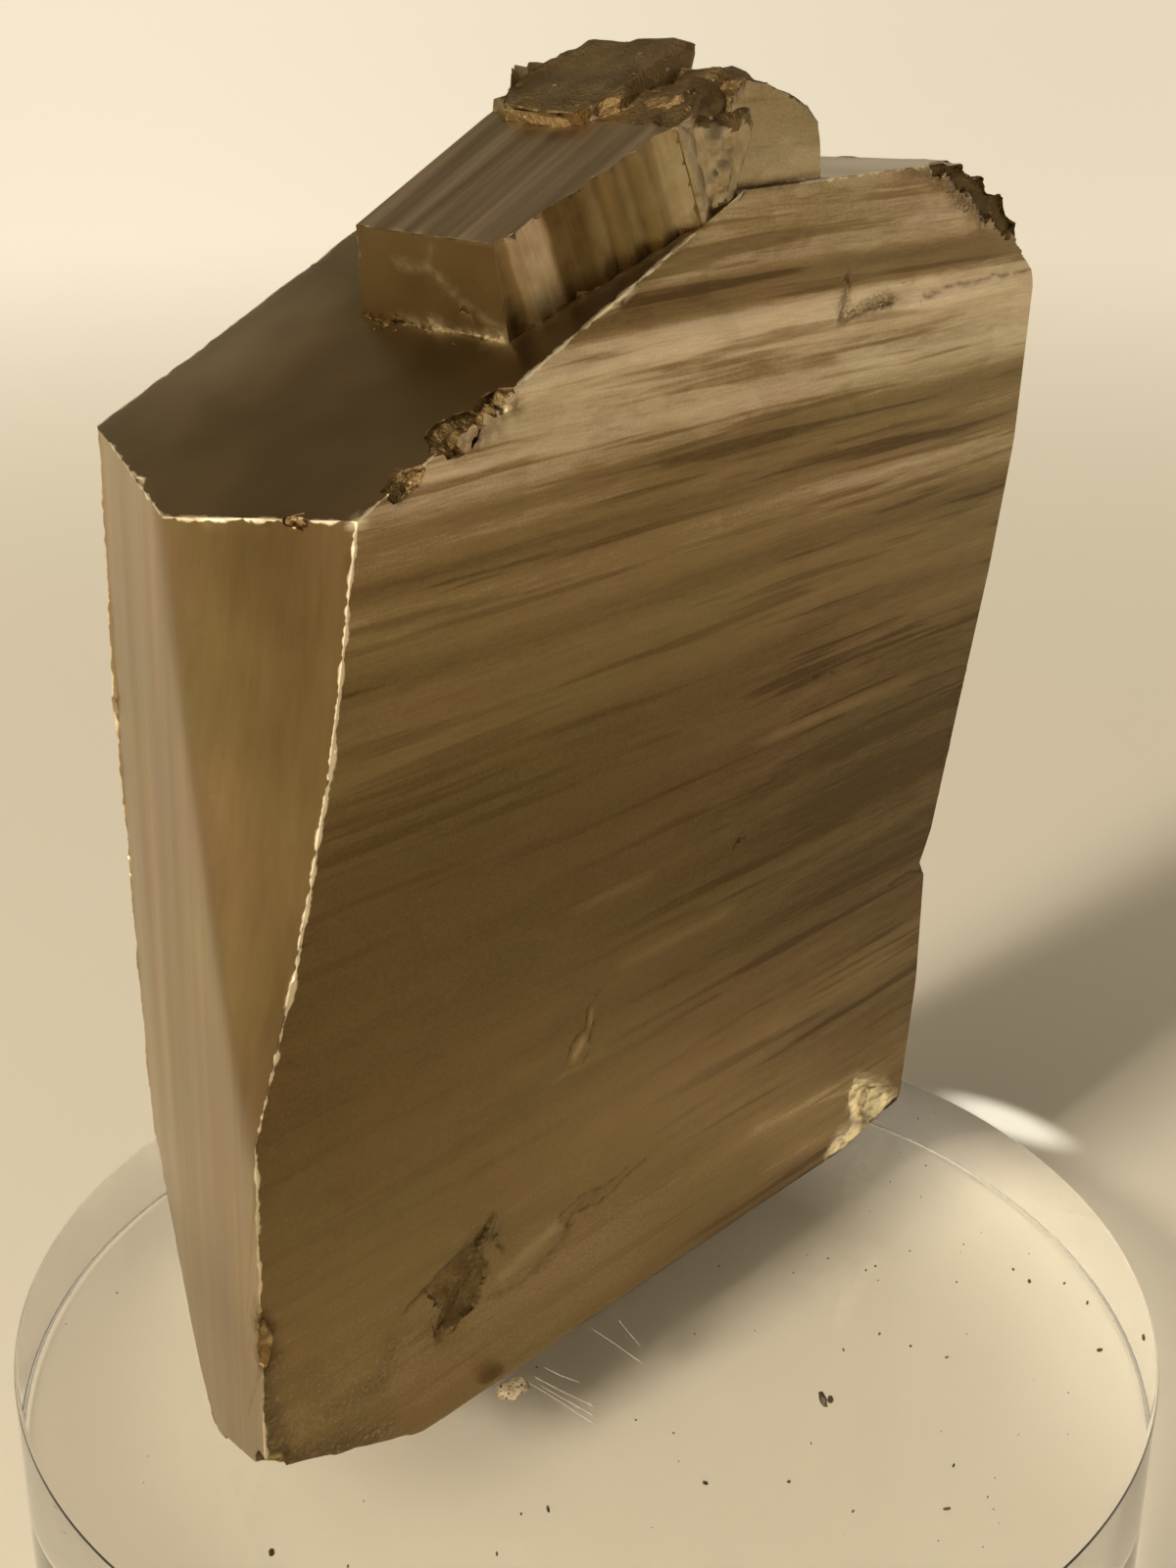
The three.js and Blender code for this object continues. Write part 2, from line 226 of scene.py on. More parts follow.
# Growth zones up the large faces: height above the disc in millimetres, and how pale the face is painted
# there; the tarnish bands carry painted reflection, light near the top and darkest in the middle.
GROWTH_AND_REFLECTION_ZONES = [
    (0, 0.44),
    (6, 0.48),
    (15, 0.40),
    (20, 0.29),
    (26, 0.18),
    (38, 0.10),
    (44, 0.23),
    (48, 0.34),
    (49.5, 0.20),
    (50.5, 0.36),
    (53, 0.48),
    (54.6, 0.24),
    (55.6, 0.44),
    (57.2, 0.28),
    (58.4, 0.50),
    (60, 0.68),
    (62, 0.74),
    (64.9, 0.64),
    (65.6, 0.22),
    (66.9, 0.15),
    (67.6, 0.46),
    (69, 0.56),
    (72, 0.52),
]


def level_place(wiring, place, waver):
    """Place moved a little up and down, so that the growth lines waver along the face."""
    wave = wiring.noise(place, (40, 30, 12), 2.0)
    return wiring.vector("ADD", place, wiring.join(z=wiring.swing(0.0, wave, waver)))


def ledge_noise(wiring, level, pitch):
    """Level growth ledges, one about every pitch."""
    x, y, z = wiring.split(level)
    long = wiring.math("DIVIDE", x, 55 * MM)
    back = wiring.math("DIVIDE", y, 9 * MM)
    spread = wiring.join(long, back, wiring.math("DIVIDE", z, pitch))
    sockets = {"Vector": spread, "Scale": 1.0, "Detail": 2.0, "Roughness": 0.6}
    return wiring.add("ShaderNodeTexNoise", sockets, noise_dimensions="3D").outputs[0]


def front_tone(wiring, place, settings):
    """Level growth bands with fine dark lines: light near the top, darkest in the middle, which is partly
    painted reflection.
    """
    level = level_place(wiring, place, settings.waver)
    x, _, z = wiring.split(level)
    top = (STONE_HIGH.z - DISC_HIGH.z) / MM
    height = wiring.span(z, DISC_HIGH.z, STONE_HIGH.z, straight=True)
    zone = wiring.ramp(height, [(up / top, (pale,) * 3) for up, pale in GROWTH_AND_REFLECTION_ZONES])
    ledge = ledge_noise(wiring, level, settings.ledge_pitch)
    line = wiring.span(wiring.noise(level, (26, 9, 0.95), 2.0, 0.62), 0.46, 0.34)
    streak = wiring.noise(level, (12, 6, 0.50), 2.5, 0.62)
    brushed = wiring.noise(place, (2.2, 3, 0.14), 1.0, 0.6)
    right = wiring.span(x, -4 * MM, 26 * MM)
    high = wiring.span(z, 46 * MM, 74 * MM)
    lively = wiring.plus(wiring.times(wiring.math("MAXIMUM", right, high), 0.82), 0.18)
    lively = wiring.times(lively, wiring.span(z, 83.8 * MM, 85.2 * MM, 1.0, 0.25))
    cloud = wiring.span(wiring.noise(place, (7, 6, 3.2), 2.0, 0.6, 0.6), 0.46, 0.56)
    cloud = wiring.times(cloud, wiring.span(z, 66 * MM, 74 * MM, 0.02, 0.06))
    grain = wiring.noise(place, (0.22, 0.22, 0.16), 1.0, 0.6)
    tone = wiring.plus(zone, wiring.times(right, wiring.span(z, 34 * MM, 50 * MM, -0.15, 0.02)))
    tone = wiring.math("SUBTRACT", tone, wiring.times(wiring.times(line, lively), 0.24))
    for part, most in ((ledge, 0.70), (streak, 0.36), (brushed, 0.22)):
        tone = wiring.swing(tone, part, wiring.times(lively, most))
    tone = wiring.plus(tone, wiring.plus(cloud, attribute(wiring, "pale")))
    tone = wiring.swing(tone, grain, 0.16)
    crumb = wiring.noise(place, (0.55, 0.55, 0.45), 2.5, 0.65)
    rough = wiring.times(attribute(wiring, "rough"), wiring.span(crumb, 0.34, 0.56))
    tone = wiring.blend(rough, tone, wiring.swing(0.16, crumb, 2.0))
    relief = wiring.plus(wiring.times(streak, 0.7), wiring.times(brushed, 0.3))
    relief = wiring.times(relief, wiring.plus(lively, 0.15))
    relief = wiring.plus(relief, wiring.times(wiring.times(rough, crumb), 8.0))
    return tone, relief, streak


def end_tone(wiring, place):
    """Soft streaks that run up the stone."""
    broad = wiring.noise(place, (3.5, 3.0, 60), 2.0)
    streak = wiring.noise(place, (0.7, 0.6, 26), 3.0, 0.6)
    bloom = wiring.noise(place, (9, 9, 12), 2.0)
    # Painted shade: the hollow of the left end is painted darker than its other faces.
    tone = wiring.blend(attribute(wiring, "hollow"), 0.55, 0.12)
    tone = wiring.plus(tone, wiring.span(wiring.split(place)[2], 36 * MM, 16 * MM, 0.0, 0.08))
    for part, most in ((broad, 0.18), (streak, 0.10), (bloom, 0.22)):
        tone = wiring.swing(tone, part, most)
    return tone, streak, bloom


def slope_tone(wiring, place):
    """A dark even skin with hardly any grain, and painted reflection: paler at the back and on the level
    strip beside the block.
    """
    bloom = wiring.noise(place, (9, 9, 9), 2.0)
    grain = wiring.noise(place, (0.5, 0.5, 0.5), 2.0)
    x, y, z = wiring.split(place)
    # Painted reflection: the tone rises towards the back.
    tone = wiring.plus(wiring.swing(0.40, bloom, 0.20), wiring.span(y, 10 * MM, 22 * MM, 0.0, 0.18))
    # Painted reflection: the level strip beside the block is painted paler.
    level = wiring.times(wiring.span(x, 15 * MM, 16.5 * MM), wiring.span(z, 83.2 * MM, 83.8 * MM))
    tone = wiring.plus(tone, wiring.times(level, 0.45))
    return tone, grain, bloom


def small_top_tone(wiring, place):
    """Straight streaks that run up the slope."""
    turned = slope_place(wiring, place)
    broad = wiring.noise(turned, (30, 1.6, 6), 2.0)
    streak = wiring.noise(turned, (12, 0.28, 3), 3.0, 0.6)
    tone = wiring.swing(wiring.swing(0.63, broad, 0.40), streak, 0.20)
    return tone, streak, broad


# Bands across the small crystal's front side: distance up the slope in millimetres, and how pale.
SIDE_BANDS = [
    (0.0, 0.14),
    (1.2, 0.22),
    (1.6, 0.34),
    (1.8, 0.56),
    (3.0, 0.62),
    (4.2, 0.56),
    (4.5, 0.10),
    (6.5, 0.08),
    (6.9, 0.20),
    (7.6, 0.28),
    (8.0, 0.12),
    (8.5, 0.30),
    (9.2, 0.16),
    (9.7, 0.34),
    (10.2, 0.18),
    (10.9, 0.40),
    (11.5, 0.30),
    (12.2, 0.54),
    (14.0, 0.60),
    (18.0, 0.58),
]


def small_side_tone(wiring, place):
    """Light and dark bands that stand square on the slope."""
    turned = slope_place(wiring, place)
    sway = wiring.noise(turned, (2.0, 4, 3.0), 2.0)
    along = wiring.plus(wiring.split(turned)[0], wiring.times(sway, 0.5 * MM))
    reach = SIDE_BANDS[-1][0]
    ramped = wiring.span(along, 0.25 * MM, (reach + 0.25) * MM, straight=True)
    tone = wiring.ramp(ramped, [(up / reach, (pale,) * 3) for up, pale in SIDE_BANDS])
    streak = wiring.noise(turned, (0.30, 6, 8), 3.0, 0.6)
    bloom = wiring.noise(place, (1.6, 1.6, 1.6), 3.0, 0.6)
    tone = wiring.swing(wiring.swing(tone, streak, 0.22), bloom, 0.30)
    return tone, streak, sway


def small_end_tone(wiring, place):
    """A dark face, a little mottled."""
    bloom = wiring.noise(place, (3, 3, 3), 3.0)
    grain = wiring.noise(place, (0.4, 0.4, 0.4), 2.0)
    return wiring.swing(0.10, bloom, 0.12), grain, bloom


def broken_tone(wiring, place):
    """Crumbly grain, darker and paler by a noise, with painted glints: smoother on the cap, darkest at the
    right corner.
    """
    x, _, z = wiring.split(place)
    cap = wiring.times(wiring.span(z, 85 * MM, 87.2 * MM), wiring.span(x, 22 * MM, 18 * MM))
    corner = wiring.times(wiring.span(z, 74 * MM, 78 * MM), wiring.span(x, 26 * MM, 29 * MM))
    bloom = wiring.noise(place, (2.2, 2.2, 2.2), 4.0, 0.6)
    grain = wiring.noise(place, (0.30, 0.30, 0.30), 4.0, 0.7)
    # Painted glints: bright specks from a noise.
    painted_glint = wiring.span(wiring.noise(place, (0.7, 0.7, 0.5), 2.0), 0.68, 0.76)
    tone = wiring.swing(wiring.blend(corner, 0.30, 0.08), bloom, wiring.blend(cap, 0.9, 0.40))
    tone = wiring.swing(tone, grain, wiring.blend(cap, 0.55, 0.22))
    tone = wiring.plus(tone, wiring.times(painted_glint, 0.45))
    return tone, grain, bloom


# How each finish but the front's is toned, and the height of its fine bumps in millimetres.
TONES = {
    "end": end_tone,
    "slope": slope_tone,
    "small_top": small_top_tone,
    "small_side": small_side_tone,
    "small_end": small_end_tone,
    "broken": broken_tone,
}
BUMPS = {
    "front": 0.030,
    "end": 0.012,
    "slope": 0.004,
    "small_top": 0.030,
    "small_side": 0.035,
    "small_end": 0.006,
    "broken": 0.14,
}


def pyrite_material(finish, settings):
    """Tarnished brassy metal: the tone of a face, brighter along the edges with wear and a painted edge
    highlight, painted shade and dirt in the pits, cracks and joins, and fresh breaks with painted glints.
    """
    material, wiring, shader = new_material("pyrite_" + finish)
    place = object_place(wiring)
    toned = front_tone(wiring, place, settings) if finish == "front" else TONES[finish](wiring, place)
    tone, relief, gloss = toned
    hue = wiring.span(wiring.noise(place, (14, 9, 7), 1.0), 0.30, 0.70)
    shades = [(0.0, settings.dark), (0.45, settings.middle), (1.0, settings.light)]
    rosy, olive = (
        wiring.ramp(tone, [(part, Vector(shade) * Vector(cast)) for part, shade in shades])
        for cast in (settings.rosy, settings.olive)
    )
    colour = wiring.tint(hue, rosy, olive)
    # Wear along the edges, painted brighter: partly a painted edge highlight.
    nick = wiring.noise(place, (1.1, 1.1, 1.1), 2.0, 0.6)
    reach = wiring.times(wiring.span(nick, 0.30, 0.70), settings.wear_highlight_width / MM)
    edge = wiring.math("DIVIDE", attribute(wiring, "edge_mm"), wiring.math("MAXIMUM", reach, 0.01))
    wear_and_highlight = wiring.span(edge, 1.0, 0.35)
    # Painted shade and dirt in the cracks, pits and joins.
    pit = attribute(wiring, "pit")
    # Fresh breaks, with painted glints and highlights.
    fresh = attribute(wiring, "fresh")
    colour = wiring.tint(wiring.times(wear_and_highlight, 0.85), colour, settings.worn_and_highlit)
    patchy = wiring.span(wiring.noise(place, (0.6, 0.6, 0.45), 2.0, 0.65), 0.36, 0.58, 0.30, 1.0)
    colour = wiring.tint(wiring.times(pit, patchy), colour, settings.hollow)
    shine = wiring.span(wiring.noise(place, (1.6, 1.2, 0.6), 2.0, 0.6), 0.36, 0.56, 0.40, 1.0)
    colour = wiring.tint(wiring.times(fresh, shine), colour, settings.fresh)
    rough = wiring.span(gloss, 0.25, 0.75, settings.roughness - 0.06, settings.roughness + 0.10)
    if finish == "broken":
        rough = wiring.plus(rough, 0.12)
    rough = wiring.blend(wear_and_highlight, rough, 0.48)
    rough = wiring.blend(pit, rough, 0.62)
    bump = wiring.add("ShaderNodeBump", {"Strength": 1.0, "Distance": BUMPS[finish] * MM, "Height": relief})
    wiring.feed(shader.inputs["Base Color"], colour)
    wiring.feed(shader.inputs["Roughness"], rough)
    wiring.feed(shader.inputs["Normal"], bump.outputs[0])
    shader.inputs["Metallic"].default_value = 1.0
    return material


def acrylic_material(settings):
    """Clear cast acrylic."""
    material, _, shader = new_material("clear_acrylic")
    shader.inputs["Base Color"].default_value = (*settings.colour, 1.0)
    shader.inputs["Roughness"].default_value = 0.0
    shader.inputs["IOR"].default_value = 1.49
    shader.inputs["Transmission Weight"].default_value = 1.0
    return material


def tack_material(settings):
    """Cream putty with dark grit in it."""
    material, wiring, shader = new_material("mounting_tack")
    place = object_place(wiring)
    bloom = wiring.noise(place, (0.8, 0.8, 0.8), 3.0)
    grit = wiring.span(wiring.noise(place, (0.22, 0.22, 0.22), 1.0), 0.60, 0.68)
    colour = wiring.ramp(bloom, [(0.3, settings.tack_shade), (0.65, settings.tack)])
    wiring.feed(shader.inputs["Base Color"], wiring.tint(grit, colour, settings.grain))
    shader.inputs["Roughness"].default_value = 0.7
    return material


def grain_material(settings):
    """Dark dull grit shed by the stone."""
    material, wiring, shader = new_material("pyrite_grit")
    tone = wiring.noise(object_place(wiring), (0.5, 0.5, 0.5), 2.0)
    colour = wiring.ramp(tone, [(0.35, settings.grain), (0.75, settings.grain_light)])
    wiring.feed(shader.inputs["Base Color"], colour)
    shader.inputs["Roughness"].default_value = 0.6
    shader.inputs["Metallic"].default_value = 0.5
    return material


def scratch_material(settings):
    """Frosted line left by a scratch."""
    material, wiring, shader = new_material("acrylic_scratch")
    tone = wiring.noise(object_place(wiring), (1.5, 1.5, 1.5), 2.0)
    colour = wiring.ramp(tone, [(0.3, settings.scratch), (0.7, settings.colour)])
    wiring.feed(shader.inputs["Base Color"], colour)
    shader.inputs["Roughness"].default_value = 0.5
    shader.inputs["Alpha"].default_value = 0.28
    return material


def finished_mesh(name, bm):
    """A new mesh with the edited geometry, which is then freed."""
    mesh = bpy.data.meshes.new(name)
    bm.to_mesh(mesh)
    bm.free()
    return mesh


def turned_mesh(name, profile, sides):
    """A closed mesh turned about Z from a profile of radius and height, lowest first."""
    bm = bmesh.new()
    turn = [2 * math.pi * i / sides for i in range(sides)]
    rings = [[bm.verts.new((r * math.cos(a), r * math.sin(a), z)) for a in turn] for r, z in profile]
    for lower, upper in zip(rings[:-1], rings[1:]):
        for i in range(sides):
            j = (i + 1) % sides
            bm.faces.new((lower[i], lower[j], upper[j], upper[i]))
    bm.faces.new(reversed(rings[0]))
    bm.faces.new(rings[-1])
    return finished_mesh(name, bm)


def merged_copy(node):
    """A welded copy of a CAD node's mesh, ready to edit."""
    bm = bmesh.new()
    bm.from_mesh(frame["nodes"][node].data)
    bmesh.ops.remove_doubles(bm, verts=bm.verts, dist=1e-6)
    return bm


class Slicer:
    """Cuts flat faces along planes and keeps neighbours joined: an edge is cut in the same place for both."""

    def __init__(self, points, faces):
        self.points = [tuple(p) for p in points]
        self.faces = [tuple(f) for f in faces]
        self.halves = {}

    def crossing(self, a, b, axis, at):
        key = (a, b) if a < b else (b, a)
        if key not in self.halves:
            p, q = self.points[key[0]], self.points[key[1]]
            part = (at - p[axis]) / (q[axis] - p[axis])
            self.points.append(tuple(u + (v - u) * part for u, v in zip(p, q)))
            self.halves[key] = len(self.points) - 1
        return self.halves[key]

    def split(self, face, axis, at):
        """The parts of a face below and above a plane."""
        below, above = [], []
        heights = [self.points[i][axis] - at for i in face]
        for i, corner in enumerate(face):
            height, next_height = heights[i], heights[(i + 1) % len(face)]
            if height < 1e-8:
                below.append(corner)
            if height > -1e-8:
                above.append(corner)
            if min(height, next_height) < -1e-8 and max(height, next_height) > 1e-8:
                cut = self.crossing(corner, face[(i + 1) % len(face)], axis, at)
                below.append(cut)
                above.append(cut)
        return below, above

    def cut(self, axis, levels, chosen=None):
        """Cuts every chosen face along the planes, lowest plane first."""
        made = []
        for face in self.faces:
            if chosen and not chosen(face):
                made.append(face)
                continue
            heights = [self.points[i][axis] for i in face]
            for at in levels[bisect_left(levels, min(heights)) : bisect_left(levels, max(heights))]:
                below, face = self.split(face, axis, at)
                if len(below) > 2:
                    made.append(tuple(below))
                if len(face) < 3:
                    break
            if len(face) > 2:
                made.append(tuple(face))
        self.faces = made

    def between(self, a, b):
        """Points added to an edge by either of its neighbours, in order."""
        key = (a, b) if a < b else (b, a)
        if key not in self.halves:
            return []
        middle = self.halves[key]
        return [*self.between(a, middle), middle, *self.between(middle, b)]

    def mesh(self, name):
        whole = []
        for face in self.faces:
            loop = []
            for i, corner in enumerate(face):
                loop += [corner, *self.between(corner, face[(i + 1) % len(face)])]
            whole.append(loop)
        mesh = bpy.data.meshes.new(name)
        mesh.from_pydata(self.points, [], whole)
        mesh.update()
        return mesh


def levels_between(low, high, step):
    count = max(1, int(round((high - low) / step)))
    return [low + (high - low) * (i + 0.5) / count for i in range(count)]


def in_slope(points):
    """Points in the small crystal's frame, in millimetres."""
    away = (points - np.array(SMALL_FOOT)) / MM
    return np.stack([away @ np.array(SLOPE_ALONG), away[:, 1], away @ np.array(SLOPE_OUT)], 1)


# Inner edge of the crumbly crust at the top right corner, on the front face as X and height, and its depth.
CRUST_DEPTH = 0.30
CRUST = [
    (29.0, 86.0),
    (29.4, 84.6),
    (32.2, 83.7),
    (33.7, 82.8),
    (36.4, 81.0),
    (38.4, 79.9),
    (40.6, 79.4),
    (43, 78.6),
]

# The bright breaks at the right foot, fresh pyrite with a painted highlight, outlined on the front face as X
# and height: how bright, and how much deeper they get for each millimetre to the left and up.
GOLD = [
    ([(27.2, 18.4), (30.8, 16.3), (33.6, 13.8), (30.3, 13.2), (27.5, 14.3), (26.4, 16.4)], 1.0, 0.05, 0.03),
    ([(25.2, 14.4), (27.4, 14.3), (30.0, 12.9), (30.0, 12.0), (23.5, 12.0), (23.5, 12.7)], 1.0, 0.01, 0.01),
]

# The crumbly hollow low on the front face: its depth, how much darker it is painted, and its outline as X and
# height.
CRUMBLED_DEPTH = 0.22
CRUMBLED_DARKNESS = 0.50
CRUMBLED = [
    (-11.8, 25.3),
    (-13.9, 24.1),
    (-15.9, 23.6),
    (-17.8, 22.9),
    (-16.4, 21.0),
    (-16.8, 19.1),
    (-14.8, 19.4),
    (-13.6, 19.4),
    (-12.6, 21.1),
    (-12.5, 22.3),
    (-13.2, 23.7),
]

# Places cut finely: from X to X, from height to height, and the step across and up.
FINE_PLACES = [
    (28.5, 43.6, 78.0, 86.4, 0.42, 0.42),
    (22.8, 34.8, 12.0, 19.6, 0.42, 0.42),
    (-16.5, -7.5, 71.4, 77.2, 0.42, 0.42),
    (-31.0, -19.5, 12.6, 28.2, 0.70, 0.55),
]


def inside(outline, x, z):
    """Which places lie within an outline given as X and height."""
    odd = np.zeros(len(x), bool)
    for (x0, z0), (x1, z1) in zip(outline, outline[1:] + outline[:1]):
        if z0 != z1:
            odd ^= ((z0 > z) != (z1 > z)) & (x < x0 + (z - z0) * (x1 - x0) / (z1 - z0))
    return odd


def in_crust(x, z):
    along, up = np.array(CRUST).T
    wander = 0.25 * np.sin(3.1 * x + 1.7 * z) + 0.15 * np.sin(7.3 * x - 4.1 * z)
    return (x > along[0]) & (z > np.interp(x, along, up) + wander)


def face_finishes(centres, normals):
    """The finish of every face, as an index into FINISHES, from where it is and which way it looks."""
    x, y, z = (centres / MM).T
    front_y, back_y = FRONT_Y / MM, BACK_Y / MM
    along, _, out = in_slope(centres).T
    kind = np.full(len(x), FINISHES.index("broken"))
    slope = normals @ np.array(SLOPE_OUT)
    on_slope = (slope > 0.985) & (np.abs(out) < np.where(along < 1.0, 0.6, 0.4))
    small = (out > 0.15) & (along > -2.5) & (along < 13.5)
    small_top = small & (slope > 0.97) & (out > 3) & (out < 6.3)
    small_end = small & (normals[:, 0] < -0.8) & (along < 2.4)
    small_rear = np.abs(y - SMALL_DEPTH + SMALL_REAR_LEAN * out) < 0.3
    small_rear &= (normals[:, 1] > 0.8) & (z > 77) & (x < 12)
    beside = (out > 0.15) & (along > -2.5) & (x < 12.4) & (z < 88.9 - 0.12 * (x - 5) + 0.25 * np.sin(2.6 * x))
    small_side = beside & (np.abs(slope) < 0.5) & (y > front_y + 0.1) & (y < 3.5) & (normals[:, 1] < 0.3)
    on_end = np.abs(x - left_end_x(centres, 0.0) / MM) < 0.15
    left = (x < -17) & (z < 71.5) & (normals[:, 2] > -0.9) & (on_end | (y > 4))
    left |= (x < -8) & (z < 32) & (y > 6) & (normals[:, 0] < -0.2) & (normals[:, 2] > -0.9)
    front = (normals[:, 1] < -0.93) & (y < front_y + 0.25)
    rear = (normals[:, 1] > 0.93) & (y > back_y - 0.25)
    block = (normals[:, 1] < -0.9) & (np.abs(y - front_y - 0.6) < 0.1) & (z > 82.5) & (x > 7.8)
    front &= ~in_crust(x, z)
    right = (normals[:, 0] > 0.7) & (x > 22) & (z < 77.5)
    flat = (normals[:, 2] > 0.97) & (np.abs(z - 84.5) < 1.0) & (x > 15)
    for name, mask in (
        ("end", left),
        ("slope", on_slope | flat),
        ("small_top", small_top | small_rear),
        ("small_side", small_side),
        ("front", front | rear | block | right),
        ("small_end", small_end),
    ):
        kind[mask] = FINISHES.index(name)
    return kind


def in_pits(points):
    """Which points lie in the small pits of the front face, away from its edges."""
    x, y, z = (points / MM).T
    shallow = (y > FRONT_Y / MM - 0.05) & (y < FRONT_Y / MM + 1.8)
    return shallow & (x > -27) & (x < 25.5) & (in_slope(points)[:, 2] < -1.3) & (z < 83) & (z > 16)


def read_all(items, key, kind=np.int32, width=1):
    """One property of all items as an array, with a row for each item where the property is a vector."""
    values = np.zeros(len(items) * width, kind)
    items.foreach_get(key, values)
    return values.reshape(-1, width).astype(float) if width > 1 else values


def read_points(mesh):
    return read_all(mesh.vertices, "co", np.float32, 3)


def write_points(mesh, points):
    mesh.vertices.foreach_set("co", points.astype(np.float32).ravel())


def spread_to_points(mesh, chosen):
    """One for every point of a chosen face, and nothing for the others."""
    on_face = np.repeat(chosen, read_all(mesh.polygons, "loop_total"))
    values = np.zeros(len(mesh.vertices))
    values[read_all(mesh.loops, "vertex_index")[on_face]] = 1.0
    return values


def face_x(corners, points):
    """How far along X a flat face lies at the places of points."""
    a, b, c = (np.array([x * MM, FRONT_Y + back * MM, DISC_HIGH.z + z * MM]) for x, back, z in corners)
    normal = np.cross(b - a, c - a)
    return a[0] - ((points[:, 1:] - a[1:]) @ normal[1:]) / normal[0]


def left_end_x(points, softness):
    """The left end's place along X, its creases rounded over about the softness; zero keeps them sharp."""
    hollow = [face_x(corners, points) for corners in HOLLOW_FACES]
    sides = [face_x(corners, points) for corners in LEFT_FACES]
    if not softness:
        return np.maximum.reduce([*sides, np.minimum.reduce(hollow)])
    inner = -softness * np.logaddexp.reduce([-x / softness for x in hollow])
    return softness * np.logaddexp.reduce([x / softness for x in [*sides, inner]])


def hollow_share(points):
    """One in the hollow of the left end and nothing on its other faces, with a soft border."""
    hollow = np.minimum.reduce([face_x(corners, points) for corners in HOLLOW_FACES])
    sides = np.maximum.reduce([face_x(corners, points) for corners in LEFT_FACES])
    return 1 / (1 + np.exp(np.clip((sides - hollow) / (0.5 * MM), -30, 30)))


def store(mesh, name, values):
    layer = mesh.attributes.new(name, "FLOAT", "POINT")
    layer.data.foreach_set("value", np.asarray(values, np.float32))


def distances(points, samples):
    """Distance of every point from the nearest sample."""
    tree = kdtree.KDTree(len(samples))
    for i, sample in enumerate(samples):
        tree.insert(sample, i)
    tree.balance()
    return np.array([tree.find(p)[2] for p in points])


def sharp_edge_distance(mesh, points, kind, angle):
    """Distance of every point from the nearest edge that gets wear and a painted highlight, and which points
    lie on a sharp one.

    The small crystal's edges are less worn than the large one's, so they count as further away.
    """
    bm = bmesh.new()
    bm.from_mesh(mesh)
    large, small = [], []
    on_edge = np.zeros(len(points))
    worn_and_highlit = {FINISHES.index(name) for name in ("front", "end", "slope")}
    broken = FINISHES.index("broken")
    for edge in bm.edges:
        if edge.calc_face_angle(0.0) < angle or min(f.calc_area() for f in edge.link_faces) < 3e-9:
            continue
        sides = {kind[face.index] for face in edge.link_faces}
        if len(sides) == 1 and broken not in sides:
            continue
        on_edge[edge.verts[0].index] = on_edge[edge.verts[1].index] = 1.0
        if broken in sides:
            continue
        a, b = edge.verts[0].co, edge.verts[1].co
        steps = max(1, int((b - a).length / (0.25 * MM)))
        chosen = large if sides <= worn_and_highlit else small
        chosen.extend(a.lerp(b, i / steps) for i in range(steps + 1))
    bm.free()
    further = 0.22 * MM + 1.6 * distances(points, small)
    return np.minimum(distances(points, large), further), on_edge


def on_front(corners):
    """Places given as X and height, put on the front face."""
    return [(x, FRONT_Y / MM, z) for x, z in corners]


def on_front_face(points):
    """Which points lie on the plane of the front face."""
    return np.abs(points[:, 1] - FRONT_Y) < 0.01 * MM


def near_line(points, corners, reach):
    """One close to a line through the corners, falling to nothing at a few times the reach."""
    best = np.full(len(points), 1e9)
    for a, b in zip(corners[:-1], corners[1:]):
        a, b = np.array(a) * MM, np.array(b) * MM
        part = np.clip((points - a) @ (b - a) / max(1e-12, (b - a) @ (b - a)), 0, 1)
        best = np.minimum(best, np.linalg.norm(points - a - part[:, None] * (b - a), axis=1))
    return np.exp(-((best / (reach * MM)) ** 2))


